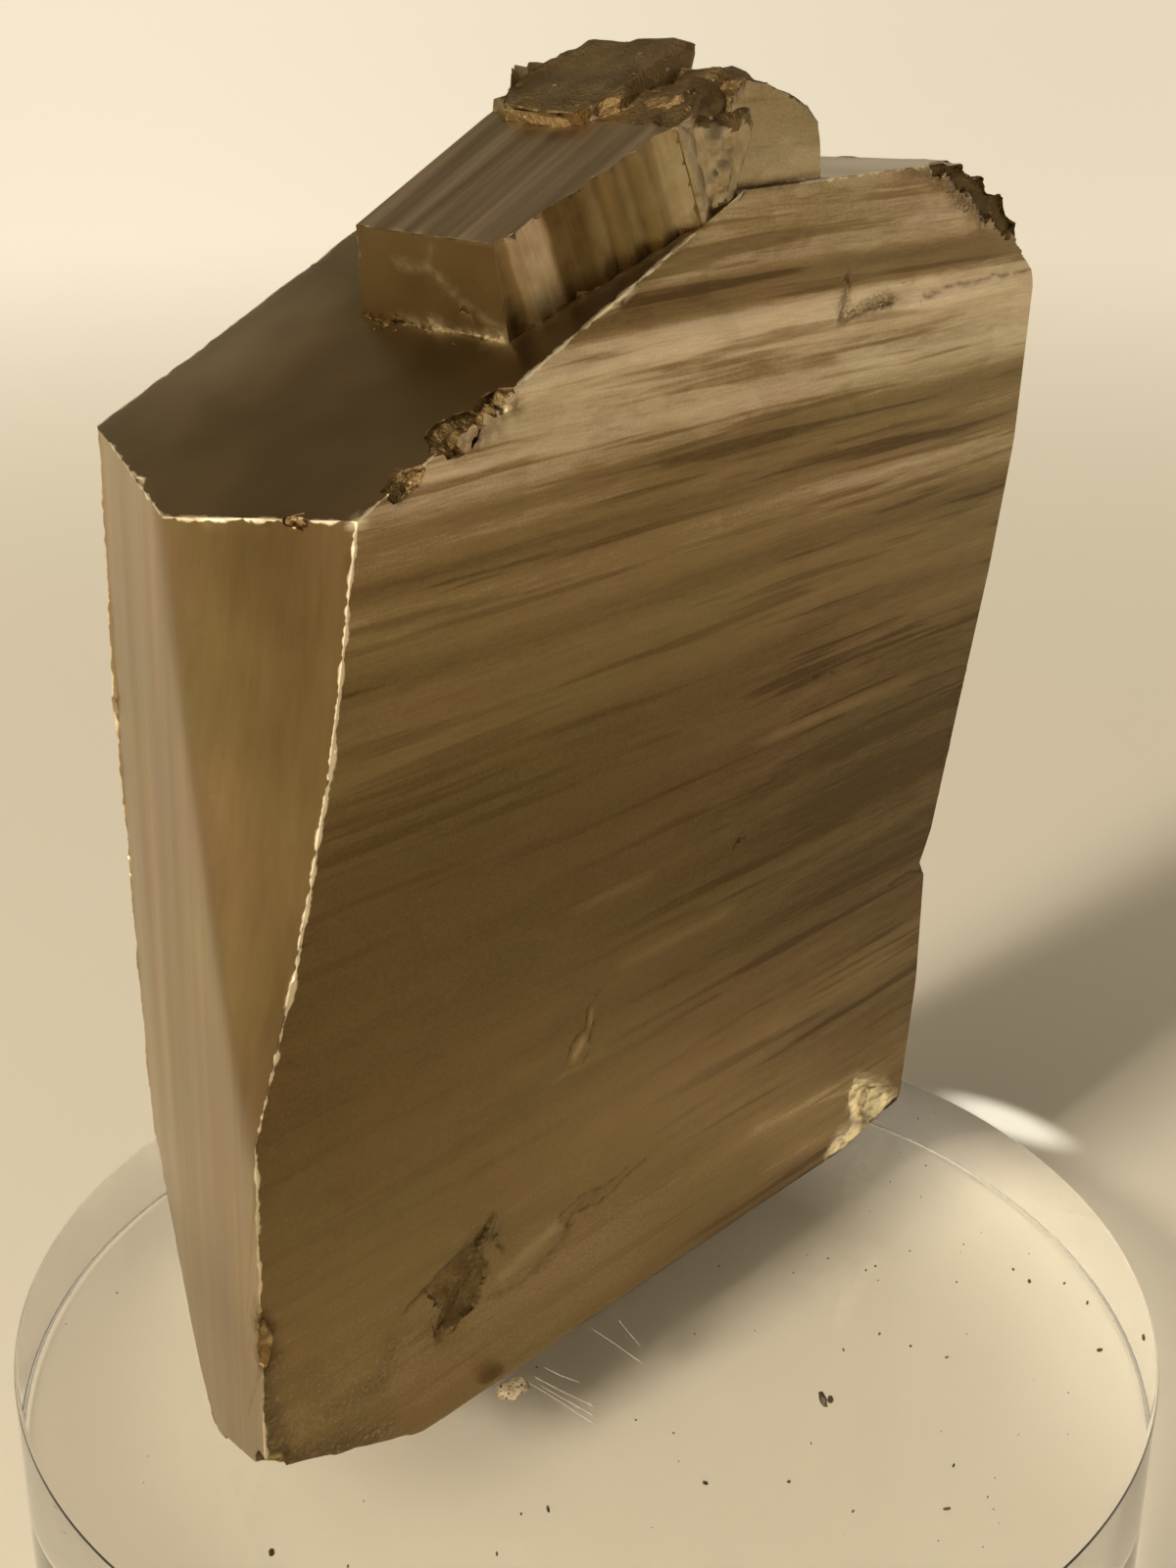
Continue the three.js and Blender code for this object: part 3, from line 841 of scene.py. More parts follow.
# Cracks and pit walls on the front face: a line as X and height, half width, depth, and how dark it is
# painted with painted shade and dirt.
CRACKS = [
    ([(-1.9, 37.2), (-3.0, 36.7), (-3.3, 36.2), (-3.3, 34.9)], 0.13, 0.14, 0.75),
    ([(-2.6, 35.1), (-3.1, 34.0)], 0.13, 0.14, 0.75),
    ([(-3.4, 34.8), (-4.2, 34.7), (-4.8, 34.3), (-5.1, 33.3)], 0.14, 0.16, 0.75),
    ([(-11.8, 25.3), (-13.9, 24.1), (-15.9, 23.6), (-17.6, 22.9), (-19.2, 22.4)], 0.22, 0.20, 0.60),
    ([(-13.7, 22.0), (-15.0, 20.7), (-15.8, 19.9), (-16.8, 19.1)], 0.40, 0.50, 0.90),
    ([(-12.6, 22.4), (-12.5, 21.4), (-13.3, 19.9)], 0.26, 0.20, 0.60),
    ([(-11.4, 22.8), (-10.9, 22.5)], 0.26, 0.20, 0.70),
    ([(-15.8, 21.9), (-15.5, 21.8)], 0.24, 0.30, 0.85),
    ([(-5.8, 22.4), (-4.8, 22.7), (-3.7, 22.9), (-2.0, 22.5), (0.7, 22.9)], 0.12, 0.12, 0.55),
    ([(-4.9, 21.3), (-4.6, 21.8), (-1.9, 21.6), (2.5, 22.5)], 0.14, 0.15, 0.60),
    ([(-4.8, 21.4), (-5.3, 20.5), (-6.9, 19.6), (-9.3, 19.1), (-12.3, 19.4)], 0.42, 0.20, 0.34),
    ([(20.4, 78.8), (21.0, 78.0), (20.2, 77.4), (19.9, 76.2), (20.5, 76.0)], 0.26, 0.12, 0.45),
    ([(20.5, 76.0), (22.6, 76.3), (25.6, 76.7)], 0.20, 0.18, 0.60),
    ([(24.6, 76.5), (25.7, 76.8)], 0.32, 0.20, 0.70),
    ([(27.0, 77.7), (28.9, 77.5)], 0.13, 0.08, 0.40),
    ([(29.5, 76.6), (32.3, 76.8), (38.3, 76.9), (43.0, 76.8)], 0.14, 0.12, 0.60),
    ([(18.9, 52.7), (19.7, 52.6)], 0.18, 0.15, 0.75),
    ([(20.9, 52.3), (21.4, 52.2)], 0.18, 0.15, 0.75),
    ([(11.6, 42.9), (12.2, 43.0)], 0.16, 0.15, 0.70),
    ([(29.7, 33.6), (32.2, 33.7), (34.4, 33.3)], 0.16, 0.18, 0.60),
]

# Crumbly places on the front face: a line as X and height, half width, and how crumbly.
ROUGH_PLACES = [
    ([(-12.4, 24.2), (-14.2, 22.4), (-16.0, 19.6)], 1.2, 0.85),
    ([(-5.4, 22.2), (-2.2, 22.2)], 0.45, 0.40),
    ([(-30.2, 26.6), (-29.9, 21.0), (-29.4, 16.6)], 1.10, 0.95),
    ([(-29.4, 16.4), (-25.2, 15.8), (-22.0, 14.6)], 1.60, 0.90),
    ([(-20.5, 20.6), (-21.4, 18.4), (-25.5, 18.5)], 0.90, 0.60),
    ([(-27.2, 22.6), (-26.2, 20.0)], 0.80, 0.40),
    ([(20.6, 78.4), (20.2, 76.4), (25.6, 76.8)], 0.60, 0.45),
    ([(26.6, 85.0), (31.4, 83.4), (36.0, 80.6)], 0.60, 0.60),
]

# Pale floors inside the cracks and pale streaks between the growth lines: X and height from end to
# end, half width, and how much paler.
PALE_STREAKS = [
    ([(-2.9, 36.0), (-2.9, 35.2)], 0.22, 0.26),
    ([(-3.7, 34.2), (-4.4, 33.4)], 0.42, 0.26),
    ([(-6.3, 21.6), (-11.0, 20.6)], 0.50, 0.10),
    ([(-4.2, 43.6), (2.0, 43.5)], 0.16, 0.12),
    ([(0.4, 38.3), (11.0, 38.1)], 0.30, 0.12),
    ([(-6.0, 32.5), (-1.0, 32.6)], 0.16, 0.14),
    ([(14.0, 49.5), (30.0, 49.3)], 0.35, 0.20),
    ([(16.0, 51.5), (25.0, 51.6)], 0.25, 0.16),
    ([(15.0, 19.5), (27.0, 18.6)], 0.70, 0.16),
    ([(22.8, 18.4), (26.6, 17.7)], 0.25, 0.22),
    ([(16.0, 15.6), (26.0, 15.0)], 0.50, 0.14),
    ([(21.4, 77.3), (26.0, 77.6), (31.0, 77.4)], 0.25, 0.14),
]

# Painted shade where one face stands on another, as places in space, half width, and how dark.
SHADE_LINES = [
    ([(-6.0, 0.6, 77.7), (0.2, -1.0, 80.5), (6.1, -2.7, 83.2)], 0.55, 0.75),
    ([(9.6, -2.5, 84.7), (13.0, -2.5, 84.8), (18.3, -2.4, 84.9)], 0.32, 0.90),
    ([(-6.3, 0.8, 77.5), (-6.3, 12.6, 77.5)], 0.30, 0.50),
    ([(-14.2, -2.4, 74.0), (-12.4, -2.4, 73.9), (-9.4, -2.4, 75.2)], 0.80, 0.70),
    (
        [(6.4, 13.7, 89.2), (4.8, 10.2, 88.5), (4.6, 5.4, 88.4), (5.8, 2.0, 88.9), (7.6, 0.1, 89.7)],
        0.45,
        0.75,
    ),
    ([(-30.1, -2.6, 27.4), (-29.9, -2.4, 24.4)], 0.90, 0.85),
    ([(-30.0, -2.4, 17.4), (-27.0, -2.6, 15.0), (-23.0, -2.8, 13.4)], 0.80, 0.55),
]

# Pale ridges and gold chips on the small crystal's end face: fresh pyrite with painted highlights.
FRESH_AND_GLINT_LINES = [
    ([(-7.0, 8.7, 81.4), (-7.0, 6.1, 81.2), (-6.6, 3.9, 79.6), (-6.3, 0.9, 78.2)], 0.26, 0.13),
    ([(-7.2, 5.7, 82.5), (-6.9, 6.3, 81.2)], 0.20, 0.06),
    ([(-6.3, 9.4, 78.0), (-6.3, 6.7, 77.9), (-6.2, 1.3, 77.7)], 0.34, 0.14),
    ([(-6.3, 6.6, 78.0), (-6.3, 6.2, 77.9)], 0.40, 0.60),
    ([(-6.3, 2.2, 77.8), (-6.2, 1.2, 77.9)], 0.45, 0.45),
]

# Painted highlights: bright beads along the edge between the front and the slanted top, and on the cap.
GLINT_BEADS = [
    ((-20.9, -2.8, 71.2), 0.40),
    ((-18.2, -2.8, 72.5), 0.26),
    ((-14.6, -2.6, 74.1), 0.30),
    ((-10.6, -2.7, 75.9), 0.32),
    ((-10.0, -2.7, 75.1), 0.26),
    ((-2.3, -2.8, 79.5), 0.28),
    ((-0.4, -2.8, 80.3), 0.28),
]


def ripple(points):
    """Points shifted a little to and fro, so that lines drawn on them wander as cracks do."""
    x, _, z = (points / MM).T
    shift = np.zeros_like(points)
    shift[:, 0] = 0.09 * np.sin(2.3 * z + 1.1 * x) + 0.05 * np.sin(5.3 * z - 3.1 * x)
    shift[:, 2] = 0.09 * np.sin(1.3 * x - 1.9 * z + 1.0) + 0.04 * np.sin(4.1 * x + 3.1 * z)
    return points + shift * MM


def swell(points):
    """How much wider or narrower a crack is from place to place."""
    x, _, z = (points / MM).T
    return 0.95 + 0.40 * np.sin(1.9 * x + 2.3 * z) * np.sin(1.1 * z - 1.7 * x + 0.6)


def new_tree(name, inputs):
    """Wiring and inputs of a new Geometry Nodes tree that takes geometry and other named values."""
    tree = bpy.data.node_groups.new(name, "GeometryNodeTree")
    tree.interface.new_socket("Geometry", in_out="INPUT", socket_type="NodeSocketGeometry")
    for label, kind in inputs.items():
        tree.interface.new_socket(label, in_out="INPUT", socket_type="NodeSocket" + kind)
    tree.interface.new_socket("Geometry", in_out="OUTPUT", socket_type="NodeSocketGeometry")
    wiring = Wiring(tree)
    return wiring, wiring.add("NodeGroupInput").outputs


def end_tree(wiring, geometry, material=None):
    """Realizes the instances, sets the material where the piece has only one, and ends the tree."""
    made = wiring.add("GeometryNodeRealizeInstances", {0: geometry}).outputs[0]
    if material:
        made = wiring.add("GeometryNodeSetMaterial", {0: made, "Material": material}).outputs[0]
    wiring.add("NodeGroupOutput", {0: made})
    return wiring.tree


def relief_tree(settings):
    """Geometry Nodes that raise the growth bands, streak the ends, roughen breaks and nick the edges."""
    sizes = {
        "Ledge pitch": settings.ledge_pitch,
        "Ledge depth": settings.ledge_depth,
        "Stria pitch": settings.stria_pitch,
        "Stria depth": settings.stria_depth,
        "Waver": settings.waver,
        "End depth": settings.end_depth,
        "Break depth": settings.break_depth,
        "Nick depth": settings.nick_depth,
        "Seed": settings.seed,
    }
    wiring, given = new_tree("pyrite_relief", dict.fromkeys(sizes, "Float"))
    place = wiring.add("GeometryNodeInputPosition").outputs[0]
    normal = wiring.add("GeometryNodeInputNormal").outputs[0]

    def weight(name):
        return wiring.add("GeometryNodeInputNamedAttribute", {"Name": name}, data_type="FLOAT").outputs[0]

    seeded = wiring.vector("ADD", place, wiring.join(y=given["Seed"]))
    level = level_place(wiring, seeded, given["Waver"])
    lively = wiring.span(wiring.split(level)[2], 45 * MM, 78 * MM, 0.55, 1.5)
    ledges = wiring.swing(0.0, ledge_noise(wiring, level, given["Ledge pitch"]), given["Ledge depth"])
    relief = wiring.swing(ledges, ledge_noise(wiring, level, given["Stria pitch"]), given["Stria depth"])
    relief = wiring.times(relief, lively)
    face_move = wiring.join(y=wiring.times(relief, weight("front")))
    streaks = wiring.swing(0.0, wiring.noise(seeded, (2.4, 2.2, 45), 2.0), given["End depth"])
    end_move = wiring.join(x=wiring.times(streaks, weight("end")))
    crumbs = wiring.swing(0.0, wiring.noise(seeded, (1.7, 1.7, 1.7), 2.0, 0.5), given["Break depth"])
    nicks = wiring.span(wiring.noise(seeded, (1.6, 1.6, 1.6), 2.0), 0.42, 0.75, 0.15, 1.0)
    nicked = wiring.times(wiring.times(nicks, given["Nick depth"]), weight("edge"))
    inward = wiring.math("SUBTRACT", wiring.times(crumbs, weight("broken")), nicked)
    moved = wiring.vector("ADD", wiring.vector("ADD", face_move, end_move), wiring.scale(normal, inward))
    placed = wiring.add("GeometryNodeSetPosition", {"Geometry": given["Geometry"], "Offset": moved})
    return end_tree(wiring, placed.outputs[0]), sizes


def run_tree(obj, tree, values):
    """Runs a Geometry Nodes tree on an object and leaves its result as the object's plain mesh."""
    modifier = obj.modifiers.new("build", "NODES")
    modifier.node_group = tree
    for item in tree.interface.items_tree:
        if item.in_out == "INPUT" and item.name in values:
            modifier[item.identifier] = values[item.name]
    bpy.context.view_layer.update()
    graph = bpy.context.evaluated_depsgraph_get()
    made = bpy.data.meshes.new_from_object(obj.evaluated_get(graph), depsgraph=graph)
    obj.modifiers.remove(modifier)
    old = obj.data
    obj.data = made
    bpy.data.meshes.remove(old)


def marks_on_stone(points):
    """Breaks with painted glints, painted shade and dirt, pale streaks and crumbly places, by attribute name,
    and how deep each point is sunk.
    """
    x, y, z = (points / MM).T
    flat = on_front_face(points)
    fresh, pit, pale, rough, sunk = np.zeros((5, len(points)))
    for corners, reach, most in FRESH_AND_GLINT_LINES:
        fresh = np.maximum(fresh, most * near_line(points, corners, reach))
    for place, reach in GLINT_BEADS:
        fresh = np.maximum(fresh, near_line(points, [place, place], reach))
    wandering, width_here = ripple(points), swell(points)
    for line, width, depth, darkness in CRACKS:
        near = near_line(wandering, on_front(line), 0.8 * width * width_here) * flat
        sunk = np.maximum(sunk, 0.5 * near * depth * MM)
        pit = np.maximum(pit, near * darkness)
    for corners, width, darkness in SHADE_LINES:
        pit = np.maximum(pit, near_line(wandering, corners, width * width_here) * darkness)
    for line, width, most in ROUGH_PLACES:
        rough = np.maximum(rough, near_line(wandering, on_front(line), width * width_here) * most)
    for line, width, most in PALE_STREAKS:
        pale = np.maximum(pale, near_line(points, on_front(line), width) * most)
    sunk[flat & in_crust(x, z)] = CRUST_DEPTH * MM
    ragged_x, _, ragged_z = (wandering / MM).T
    # The breaks have soft outlines, averaged over a few places round each point.
    around = [(0.16 * i * math.sin(2.4 * i), 0.16 * i * math.cos(2.4 * i)) for i in range(6)]
    for outline, most, leftward, upward in GOLD:
        within = np.mean([inside(outline, ragged_x + dx, ragged_z + dz) for dx, dz in around], 0)
        within *= np.abs(y - FRONT_Y / MM) < 3
        fresh = np.maximum(fresh, within * most)
        right, low = np.max(outline, 0)[0], np.min(outline, 0)[1]
        deep = 0.05 + leftward * np.maximum(right - x, 0) + upward * np.maximum(z - low, 0)
        sunk = np.maximum(sunk, within * flat * deep * MM)
    crumbled = inside(CRUMBLED, ragged_x, ragged_z) * flat
    sunk = np.maximum(sunk, crumbled * CRUMBLED_DEPTH * MM)
    pit = np.maximum(pit, crumbled * CRUMBLED_DARKNESS)
    return {"fresh": fresh, "pit": pit, "pale": pale, "rough": rough}, sunk


def new_object(name, data):
    obj = bpy.data.objects.new(name, data)
    bpy.context.scene.collection.objects.link(obj)
    return obj


def soften_breaks(mesh):
    """Shades broken places and the small side smooth: no edge between two such faces stays sharp."""
    kind = read_all(mesh.polygons, "material_index")
    sizes = read_all(mesh.polygons, "loop_total")
    edges = read_all(mesh.loops, "edge_index")
    smooth = (kind == FINISHES.index("broken")) | (kind == FINISHES.index("small_side"))
    beside = np.bincount(edges[np.repeat(smooth, sizes)], minlength=len(mesh.edges))
    layer = mesh.attributes["sharp_edge"].data
    layer.foreach_set("value", read_all(layer, "value", bool) & (beside < 2))


def cut_box(slicer, low, high, back, across, up):
    """Cuts the faces that meet a box on the front face, given as X and height, as far back as it reaches."""

    def meets(face):
        xs, ys, zs = zip(*(slicer.points[i] for i in face))
        beside = min(xs) > high[0] or max(xs) < low[0] or min(zs) > high[1] or max(zs) < low[1]
        return not beside and max(ys) < FRONT_Y + back

    slicer.cut(0, levels_between(low[0], high[0], across), meets)
    slicer.cut(2, levels_between(low[1], high[1], up), meets)


def cut_finely(slicer):
    """Cuts the front face finely round its cracks, and the stone where it crumbles."""
    margin = 0.45 * MM
    for line, width, _, _ in CRACKS:
        step = max(0.20, 0.8 * width) * MM
        low, high = np.min(line, 0) * MM - margin, np.max(line, 0) * MM + margin
        cut_box(slicer, low, high, 0.001 * MM, step, step)
    for x0, x1, z0, z1, across, up in FINE_PLACES:
        cut_box(slicer, (x0 * MM, z0 * MM), (x1 * MM, z1 * MM), 6 * MM, across * MM, up * MM)


def add_scallops(slicer):
    """Adds the uneven surface that runs from the small crystal's front side to the block."""
    across, up = 24, 22
    first = len(slicer.points)
    for j in range(up + 1):
        for i in range(across + 1):
            u, v = i / across, j / up
            left, right = 6.1 - 2.7 * v, 9.6 + 2.6 * v
            x = left + (right - left) * u
            z = 82.5 + 6.6 * v + (1.2 - 0.1 * v) * u
            uneven = 0.16 * math.sin(1.9 * x + 0.9 * z) + 0.11 * math.sin(2.7 * z - 1.6 * x)
            back = 0.34 + uneven * math.sin(math.pi * u) ** 0.5 + 0.6 * u**24 + 1.6 * v**16
            slicer.points.append((x * MM, FRONT_Y + back * MM, z * MM))
    for j in range(up):
        for i in range(across):
            a = first + j * (across + 1) + i
            slicer.faces.append((a, a + 1, a + across + 2, a + across + 1))


def flatten_faces(points):
    """Puts the CAD's points near the large faces onto them, and straightens the small crystal's foot."""
    for plane in (FRONT_Y, BACK_Y):
        points[np.abs(points[:, 1] - plane) < FLAT_WITHIN, 1] = plane
    points[in_pits(points), 1] = FRONT_Y
    along, back, out = in_slope(points).T
    foot = (np.abs(along) < 1.8) & (out > -1.2) & (out < 1.7) & (back > -0.6) & (back < 12.9)
    foot &= (np.abs(out) > 0.02) & (np.abs(along - SMALL_END_LEAN * out) > 0.02)
    straight = np.where(out > 0, SMALL_END_LEAN * out, np.minimum(along, 0)) - along
    moved = straight[:, None] * np.array(SLOPE_ALONG) + np.maximum(-out, 0)[:, None] * np.array(SLOPE_OUT)
    points[foot] += moved[foot] * MM


def crystal_mesh(settings):
    """The stone's CAD mesh with flat large faces, cut fine enough for relief, and marked face by face."""
    source = frame["nodes"]["pyrite_crystal"].data
    points = read_points(source)
    flatten_faces(points)
    points, same = np.unique(np.round(points, 7), axis=0, return_inverse=True)
    corners = same.ravel()[read_all(source.loops, "vertex_index")].reshape(-1, 3)
    slicer = Slicer(points, [c for c in corners.tolist() if len(set(c)) == 3])
    cut_finely(slicer)
    add_scallops(slicer)
    low, high = STONE_LOW, STONE_HIGH
    slicer.cut(0, levels_between(low.x, high.x, settings.cell_along))
    slicer.cut(1, levels_between(low.y, high.y, settings.cell_back))
    slicer.cut(2, levels_between(low.z, high.z, settings.cell_up))

    def on_small(face):
        x, y, z = (part / MM for part in slicer.points[face[0]])
        return z > 77.5 and -8 < x < 20 and -2.65 < y < 18

    slicer.cut(0, levels_between(-8 * MM, 20 * MM, settings.cell_small), on_small)
    slicer.cut(1, levels_between(low.y, 18 * MM, settings.cell_small), on_small)
    mesh = slicer.mesh("pyrite_stone")
    points = read_points(mesh)
    normals = read_all(mesh.polygons, "normal", np.float32, 3)
    kind = face_finishes(read_all(mesh.polygons, "center", np.float32, 3), normals)
    mesh.polygons.foreach_set("material_index", kind.astype(np.int32))
    distance, on_edge = sharp_edge_distance(mesh, points, kind, math.radians(32))
    return mesh, points, kind, normals, distance, on_edge


class CrystalSettings(bpy.types.PropertyGroup):
    cell_along: FloatProperty(
        name="Cell along", description="Mesh step along the front", default=3.0 * MM, unit="LENGTH"
    )
    cell_back: FloatProperty(
        name="Cell back", description="Mesh step through the stone", default=0.7 * MM, unit="LENGTH"
    )
    cell_up: FloatProperty(
        name="Cell up", description="Mesh step up the stone", default=0.6 * MM, unit="LENGTH"
    )
    cell_small: FloatProperty(
        name="Cell small",
        description="Mesh step on the small crystal",
        default=0.55 * MM,
        unit="LENGTH",
    )
    ledge_pitch: FloatProperty(
        name="Ledge pitch", description="Height of a growth band", default=3.2 * MM, unit="LENGTH"
    )
    ledge_depth: FloatProperty(
        name="Ledge depth",
        description="Relief of the growth bands",
        default=0.42 * MM,
        unit="LENGTH",
    )
    stria_pitch: FloatProperty(
        name="Stria pitch", description="Height of a fine stria", default=1.1 * MM, unit="LENGTH"
    )
    stria_depth: FloatProperty(
        name="Stria depth",
        description="Relief of the fine striae",
        default=0.07 * MM,
        unit="LENGTH",
    )
    waver: FloatProperty(
        name="Waver",
        description="How far the bands wander up and down",
        default=1.2 * MM,
        unit="LENGTH",
    )
    end_depth: FloatProperty(
        name="End depth",
        description="Relief of the streaks on the left end",
        default=0.10 * MM,
        unit="LENGTH",
    )
    break_depth: FloatProperty(
        name="Break depth",
        description="Roughness of broken places",
        default=0.70 * MM,
        unit="LENGTH",
    )
    nick_depth: FloatProperty(
        name="Nick depth",
        description="Depth of nicks along the edges",
        default=0.16 * MM,
        unit="LENGTH",
    )
    # Width of the bright edge: wear and a painted edge highlight.
    wear_highlight_width: FloatProperty(
        name="Wear width",
        description="Width of the bright worn edge",
        default=0.34 * MM,
        unit="LENGTH",
    )
    crease: FloatProperty(
        name="Crease",
        description="Rounding of the creases on the left end",
        default=0.30 * MM,
        unit="LENGTH",
    )
    lift: FloatProperty(
        name="Lift", description="Gap under the stone", default=0.05 * MM, unit="LENGTH"
    )
    roughness: FloatProperty(
        name="Roughness",
        description="Dullness of the tarnished skin",
        default=0.34,
        subtype="FACTOR",
    )
    dark: FloatVectorProperty(
        name="Dark", description="Darkest tarnish", default=(0.097, 0.060, 0.021), subtype="COLOR"
    )
    middle: FloatVectorProperty(
        name="Middle", description="Common tarnish", default=(0.27, 0.190, 0.089), subtype="COLOR"
    )
    light: FloatVectorProperty(
        name="Light", description="Palest skin", default=(0.79, 0.66, 0.48), subtype="COLOR"
    )
    # Colour of worn edges, which is also the painted edge highlight.
    worn_and_highlit: FloatVectorProperty(
        name="Worn", description="Worn edges", default=(0.88, 0.76, 0.56), subtype="COLOR"
    )
    # Colour of the painted shade and dirt in the pits, cracks and joins.
    hollow: FloatVectorProperty(
        name="Hollow",
        description="Dirt in the pits",
        default=(0.115, 0.062, 0.014),
        subtype="COLOR",
    )
    # Colour of fresh pyrite, also used for the painted glints and highlights.
    fresh: FloatVectorProperty(
        name="Fresh",
        description="Freshly broken pyrite",
        default=(1.0, 0.88, 0.60),
        subtype="COLOR",
    )
    rosy: FloatVectorProperty(
        name="Rosy",
        description="Cast of the redder tarnish",
        default=(1.03, 0.975, 0.98),
        subtype="XYZ",
    )
    olive: FloatVectorProperty(
        name="Olive",
        description="Cast of the greener tarnish",
        default=(0.98, 1.0, 0.93),
        subtype="XYZ",
    )
    seed: FloatProperty(name="Seed", description="Which run of growth bands", default=0.0)


class DiscSettings(bpy.types.PropertyGroup):
    sides: IntProperty(name="Sides", description="Steps round the disc", default=192)
    edge: FloatProperty(
        name="Edge", description="Radius of the polished edge", default=0.18 * MM, unit="LENGTH"
    )
    foot: FloatProperty(
        name="Foot", description="Radius of the lower edge", default=0.25 * MM, unit="LENGTH"
    )
    colour: FloatVectorProperty(
        name="Colour", description="Acrylic", default=(0.96, 0.95, 0.925), subtype="COLOR"
    )
    scratch: FloatVectorProperty(
        name="Scratch", description="Scratches", default=(0.75, 0.71, 0.64), subtype="COLOR"
    )
    scratch_width: FloatProperty(
        name="Scratch width", description="Width of a scratch", default=0.06 * MM, unit="LENGTH"
    )


class DustSettings(bpy.types.PropertyGroup):
    grains: IntProperty(name="Grains", description="Grains lying on the disc", default=110)
    seed: IntProperty(name="Seed", description="Which scatter of grains", default=4)
    grain: FloatVectorProperty(
        name="Grain", description="Grit", default=(0.035, 0.025, 0.014), subtype="COLOR"
    )
    grain_light: FloatVectorProperty(
        name="Grain light", description="Pale grit", default=(0.20, 0.15, 0.085), subtype="COLOR"
    )
    tack_squash: FloatProperty(
        name="Tack squash",
        description="How flat the tack is pressed",
        default=0.35,
        subtype="FACTOR",
    )
    tack: FloatVectorProperty(
        name="Tack", description="Mounting tack", default=(0.74, 0.62, 0.43), subtype="COLOR"
    )
    tack_shade: FloatVectorProperty(
        name="Tack shade",
        description="Mounting tack in its folds",
        default=(0.46, 0.35, 0.21),
        subtype="COLOR",
    )


class StageSettings(bpy.types.PropertyGroup):
    camera_place: FloatVectorProperty(
        name="Camera place",
        description="Where the camera stands",
        default=(-0.0901, -0.0808, 0.0990),
        subtype="TRANSLATION",
        unit="LENGTH",
    )
    camera_turn: FloatVectorProperty(
        name="Camera turn",
        description="Which way the camera looks",
        default=(math.radians(67.88), math.radians(-0.35), math.radians(-47.90)),
        subtype="EULER",
    )
    lens: FloatProperty(name="Lens", description="Focal length in millimetres", default=48.4)
    floor: FloatVectorProperty(
        name="Floor", description="Floor", default=(0.80, 0.745, 0.645), subtype="COLOR"
    )
    horizon: FloatVectorProperty(
        name="Horizon",
        description="Light near the horizon",
        default=(0.66, 0.595, 0.475),
        subtype="COLOR",
    )
    zenith: FloatVectorProperty(
        name="Zenith", description="Light from above", default=(0.19, 0.160, 0.112), subtype="COLOR"
    )
    window_way: FloatVectorProperty(
        name="Window way",
        description="Direction of the soft window",
        default=(-0.85, 0.15, 0.5),
        subtype="DIRECTION",
    )
    window_strength: FloatProperty(
        name="Window strength", description="Brightness of the soft window", default=0.9
    )
    key_power: FloatProperty(
        name="Key power", description="Power of the lamp on the left", default=1.8
    )
    sun_power: FloatProperty(
        name="Sun power", description="Strength of the even light from the left", default=1.4
    )
    # Colour of the painted light on the floor: the far glow, the painted caustic and the light under the
    # disc's rim.
    painted_floor_light: FloatVectorProperty(
        name="Far floor",
        description="Glow of the floor far off",
        default=(0.43, 0.40, 0.33),
        subtype="COLOR",
    )
    key_colour: FloatVectorProperty(
        name="Key colour", description="Lamp", default=(1.0, 0.90, 0.72), subtype="COLOR"
    )


class PYRITE_OT_crystal(bpy.types.Operator):
    """Build the stone: the large crystal with the smaller one and its broken cap"""

    bl_idname = "pyrite.crystal"
    bl_label = "Crystal"

    def execute(self, context):
        settings = context.scene.pyrite_crystal
        mesh, points, kind, normals, distance, on_edge = crystal_mesh(settings)
        is_front = kind == FINISHES.index("front")
        is_end = kind == FINISHES.index("end")
        torn = (kind == FINISHES.index("broken")) | is_front & (normals[:, 0] > 0.7)
        facing = spread_to_points(mesh, is_front & (normals[:, 1] < 0))
        rear = spread_to_points(mesh, is_front & (normals[:, 1] > 0))
        left, others = spread_to_points(mesh, is_end), spread_to_points(mesh, ~is_end)
        broken, whole = spread_to_points(mesh, torn), spread_to_points(mesh, ~torn)
        side = spread_to_points(mesh, kind == FINISHES.index("small_side"))

        near_end = np.where(points[:, 1] > 4 * MM, 1.2 * MM, 0.06 * MM)
        soft = (left > 0) & (others == 0) & (np.abs(points[:, 0] - left_end_x(points, 0.0)) < near_end)
        points[soft, 0] = left_end_x(points[soft], settings.crease)
        x, y, z = (points / MM).T
        flat = on_front_face(points)
        marks, sunk = marks_on_stone(points)
        points[:, 1] += sunk
        cap = (broken > 0) & (z > 86) & (x < 13.5) & (y > FRONT_Y / MM + 3)
        plane = CAP_HIGH + CAP_RISE * x + 0.05 * np.sin(0.9 * x + 0.5 * y)
        points[cap, 2] = np.minimum(points[cap, 2], plane[cap] * MM)
        write_points(mesh, points)

        scallop = side * np.clip((in_slope(points)[:, 0] - 12.0) / 3.0, 0, 1) * 0.25
        crumbling = np.maximum(broken * (1 - whole) * np.where(cap, 0.45, 1.0), scallop)
        values = {
            "hollow": hollow_share(points),
            "front": rear - facing,
            "end": left * (1 - others),
            "broken": np.maximum(crumbling, 0.25 * marks["rough"] * flat),
            "edge": on_edge,
            "edge_mm": distance / MM,
            **marks,
        }
        for name, value in values.items():
            store(mesh, name, value)
        stone = new_object("pyrite_stone", mesh)
        run_tree(stone, *relief_tree(settings))
        points = read_points(stone.data)
        points[:, 2] = np.maximum(points[:, 2], DISC_HIGH.z)
        write_points(stone.data, points)
        for finish in FINISHES:
            stone.data.materials.append(pyrite_material(finish, settings))
        stone.data.transform(Matrix.Translation((0, 0, settings.lift)))
        stone.data.shade_smooth()
        stone.data.set_sharp_from_angle(angle=math.radians(30))
        soften_breaks(stone.data)
        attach(stone, "root")
        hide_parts("pyrite_crystal")
        return {"FINISHED"}


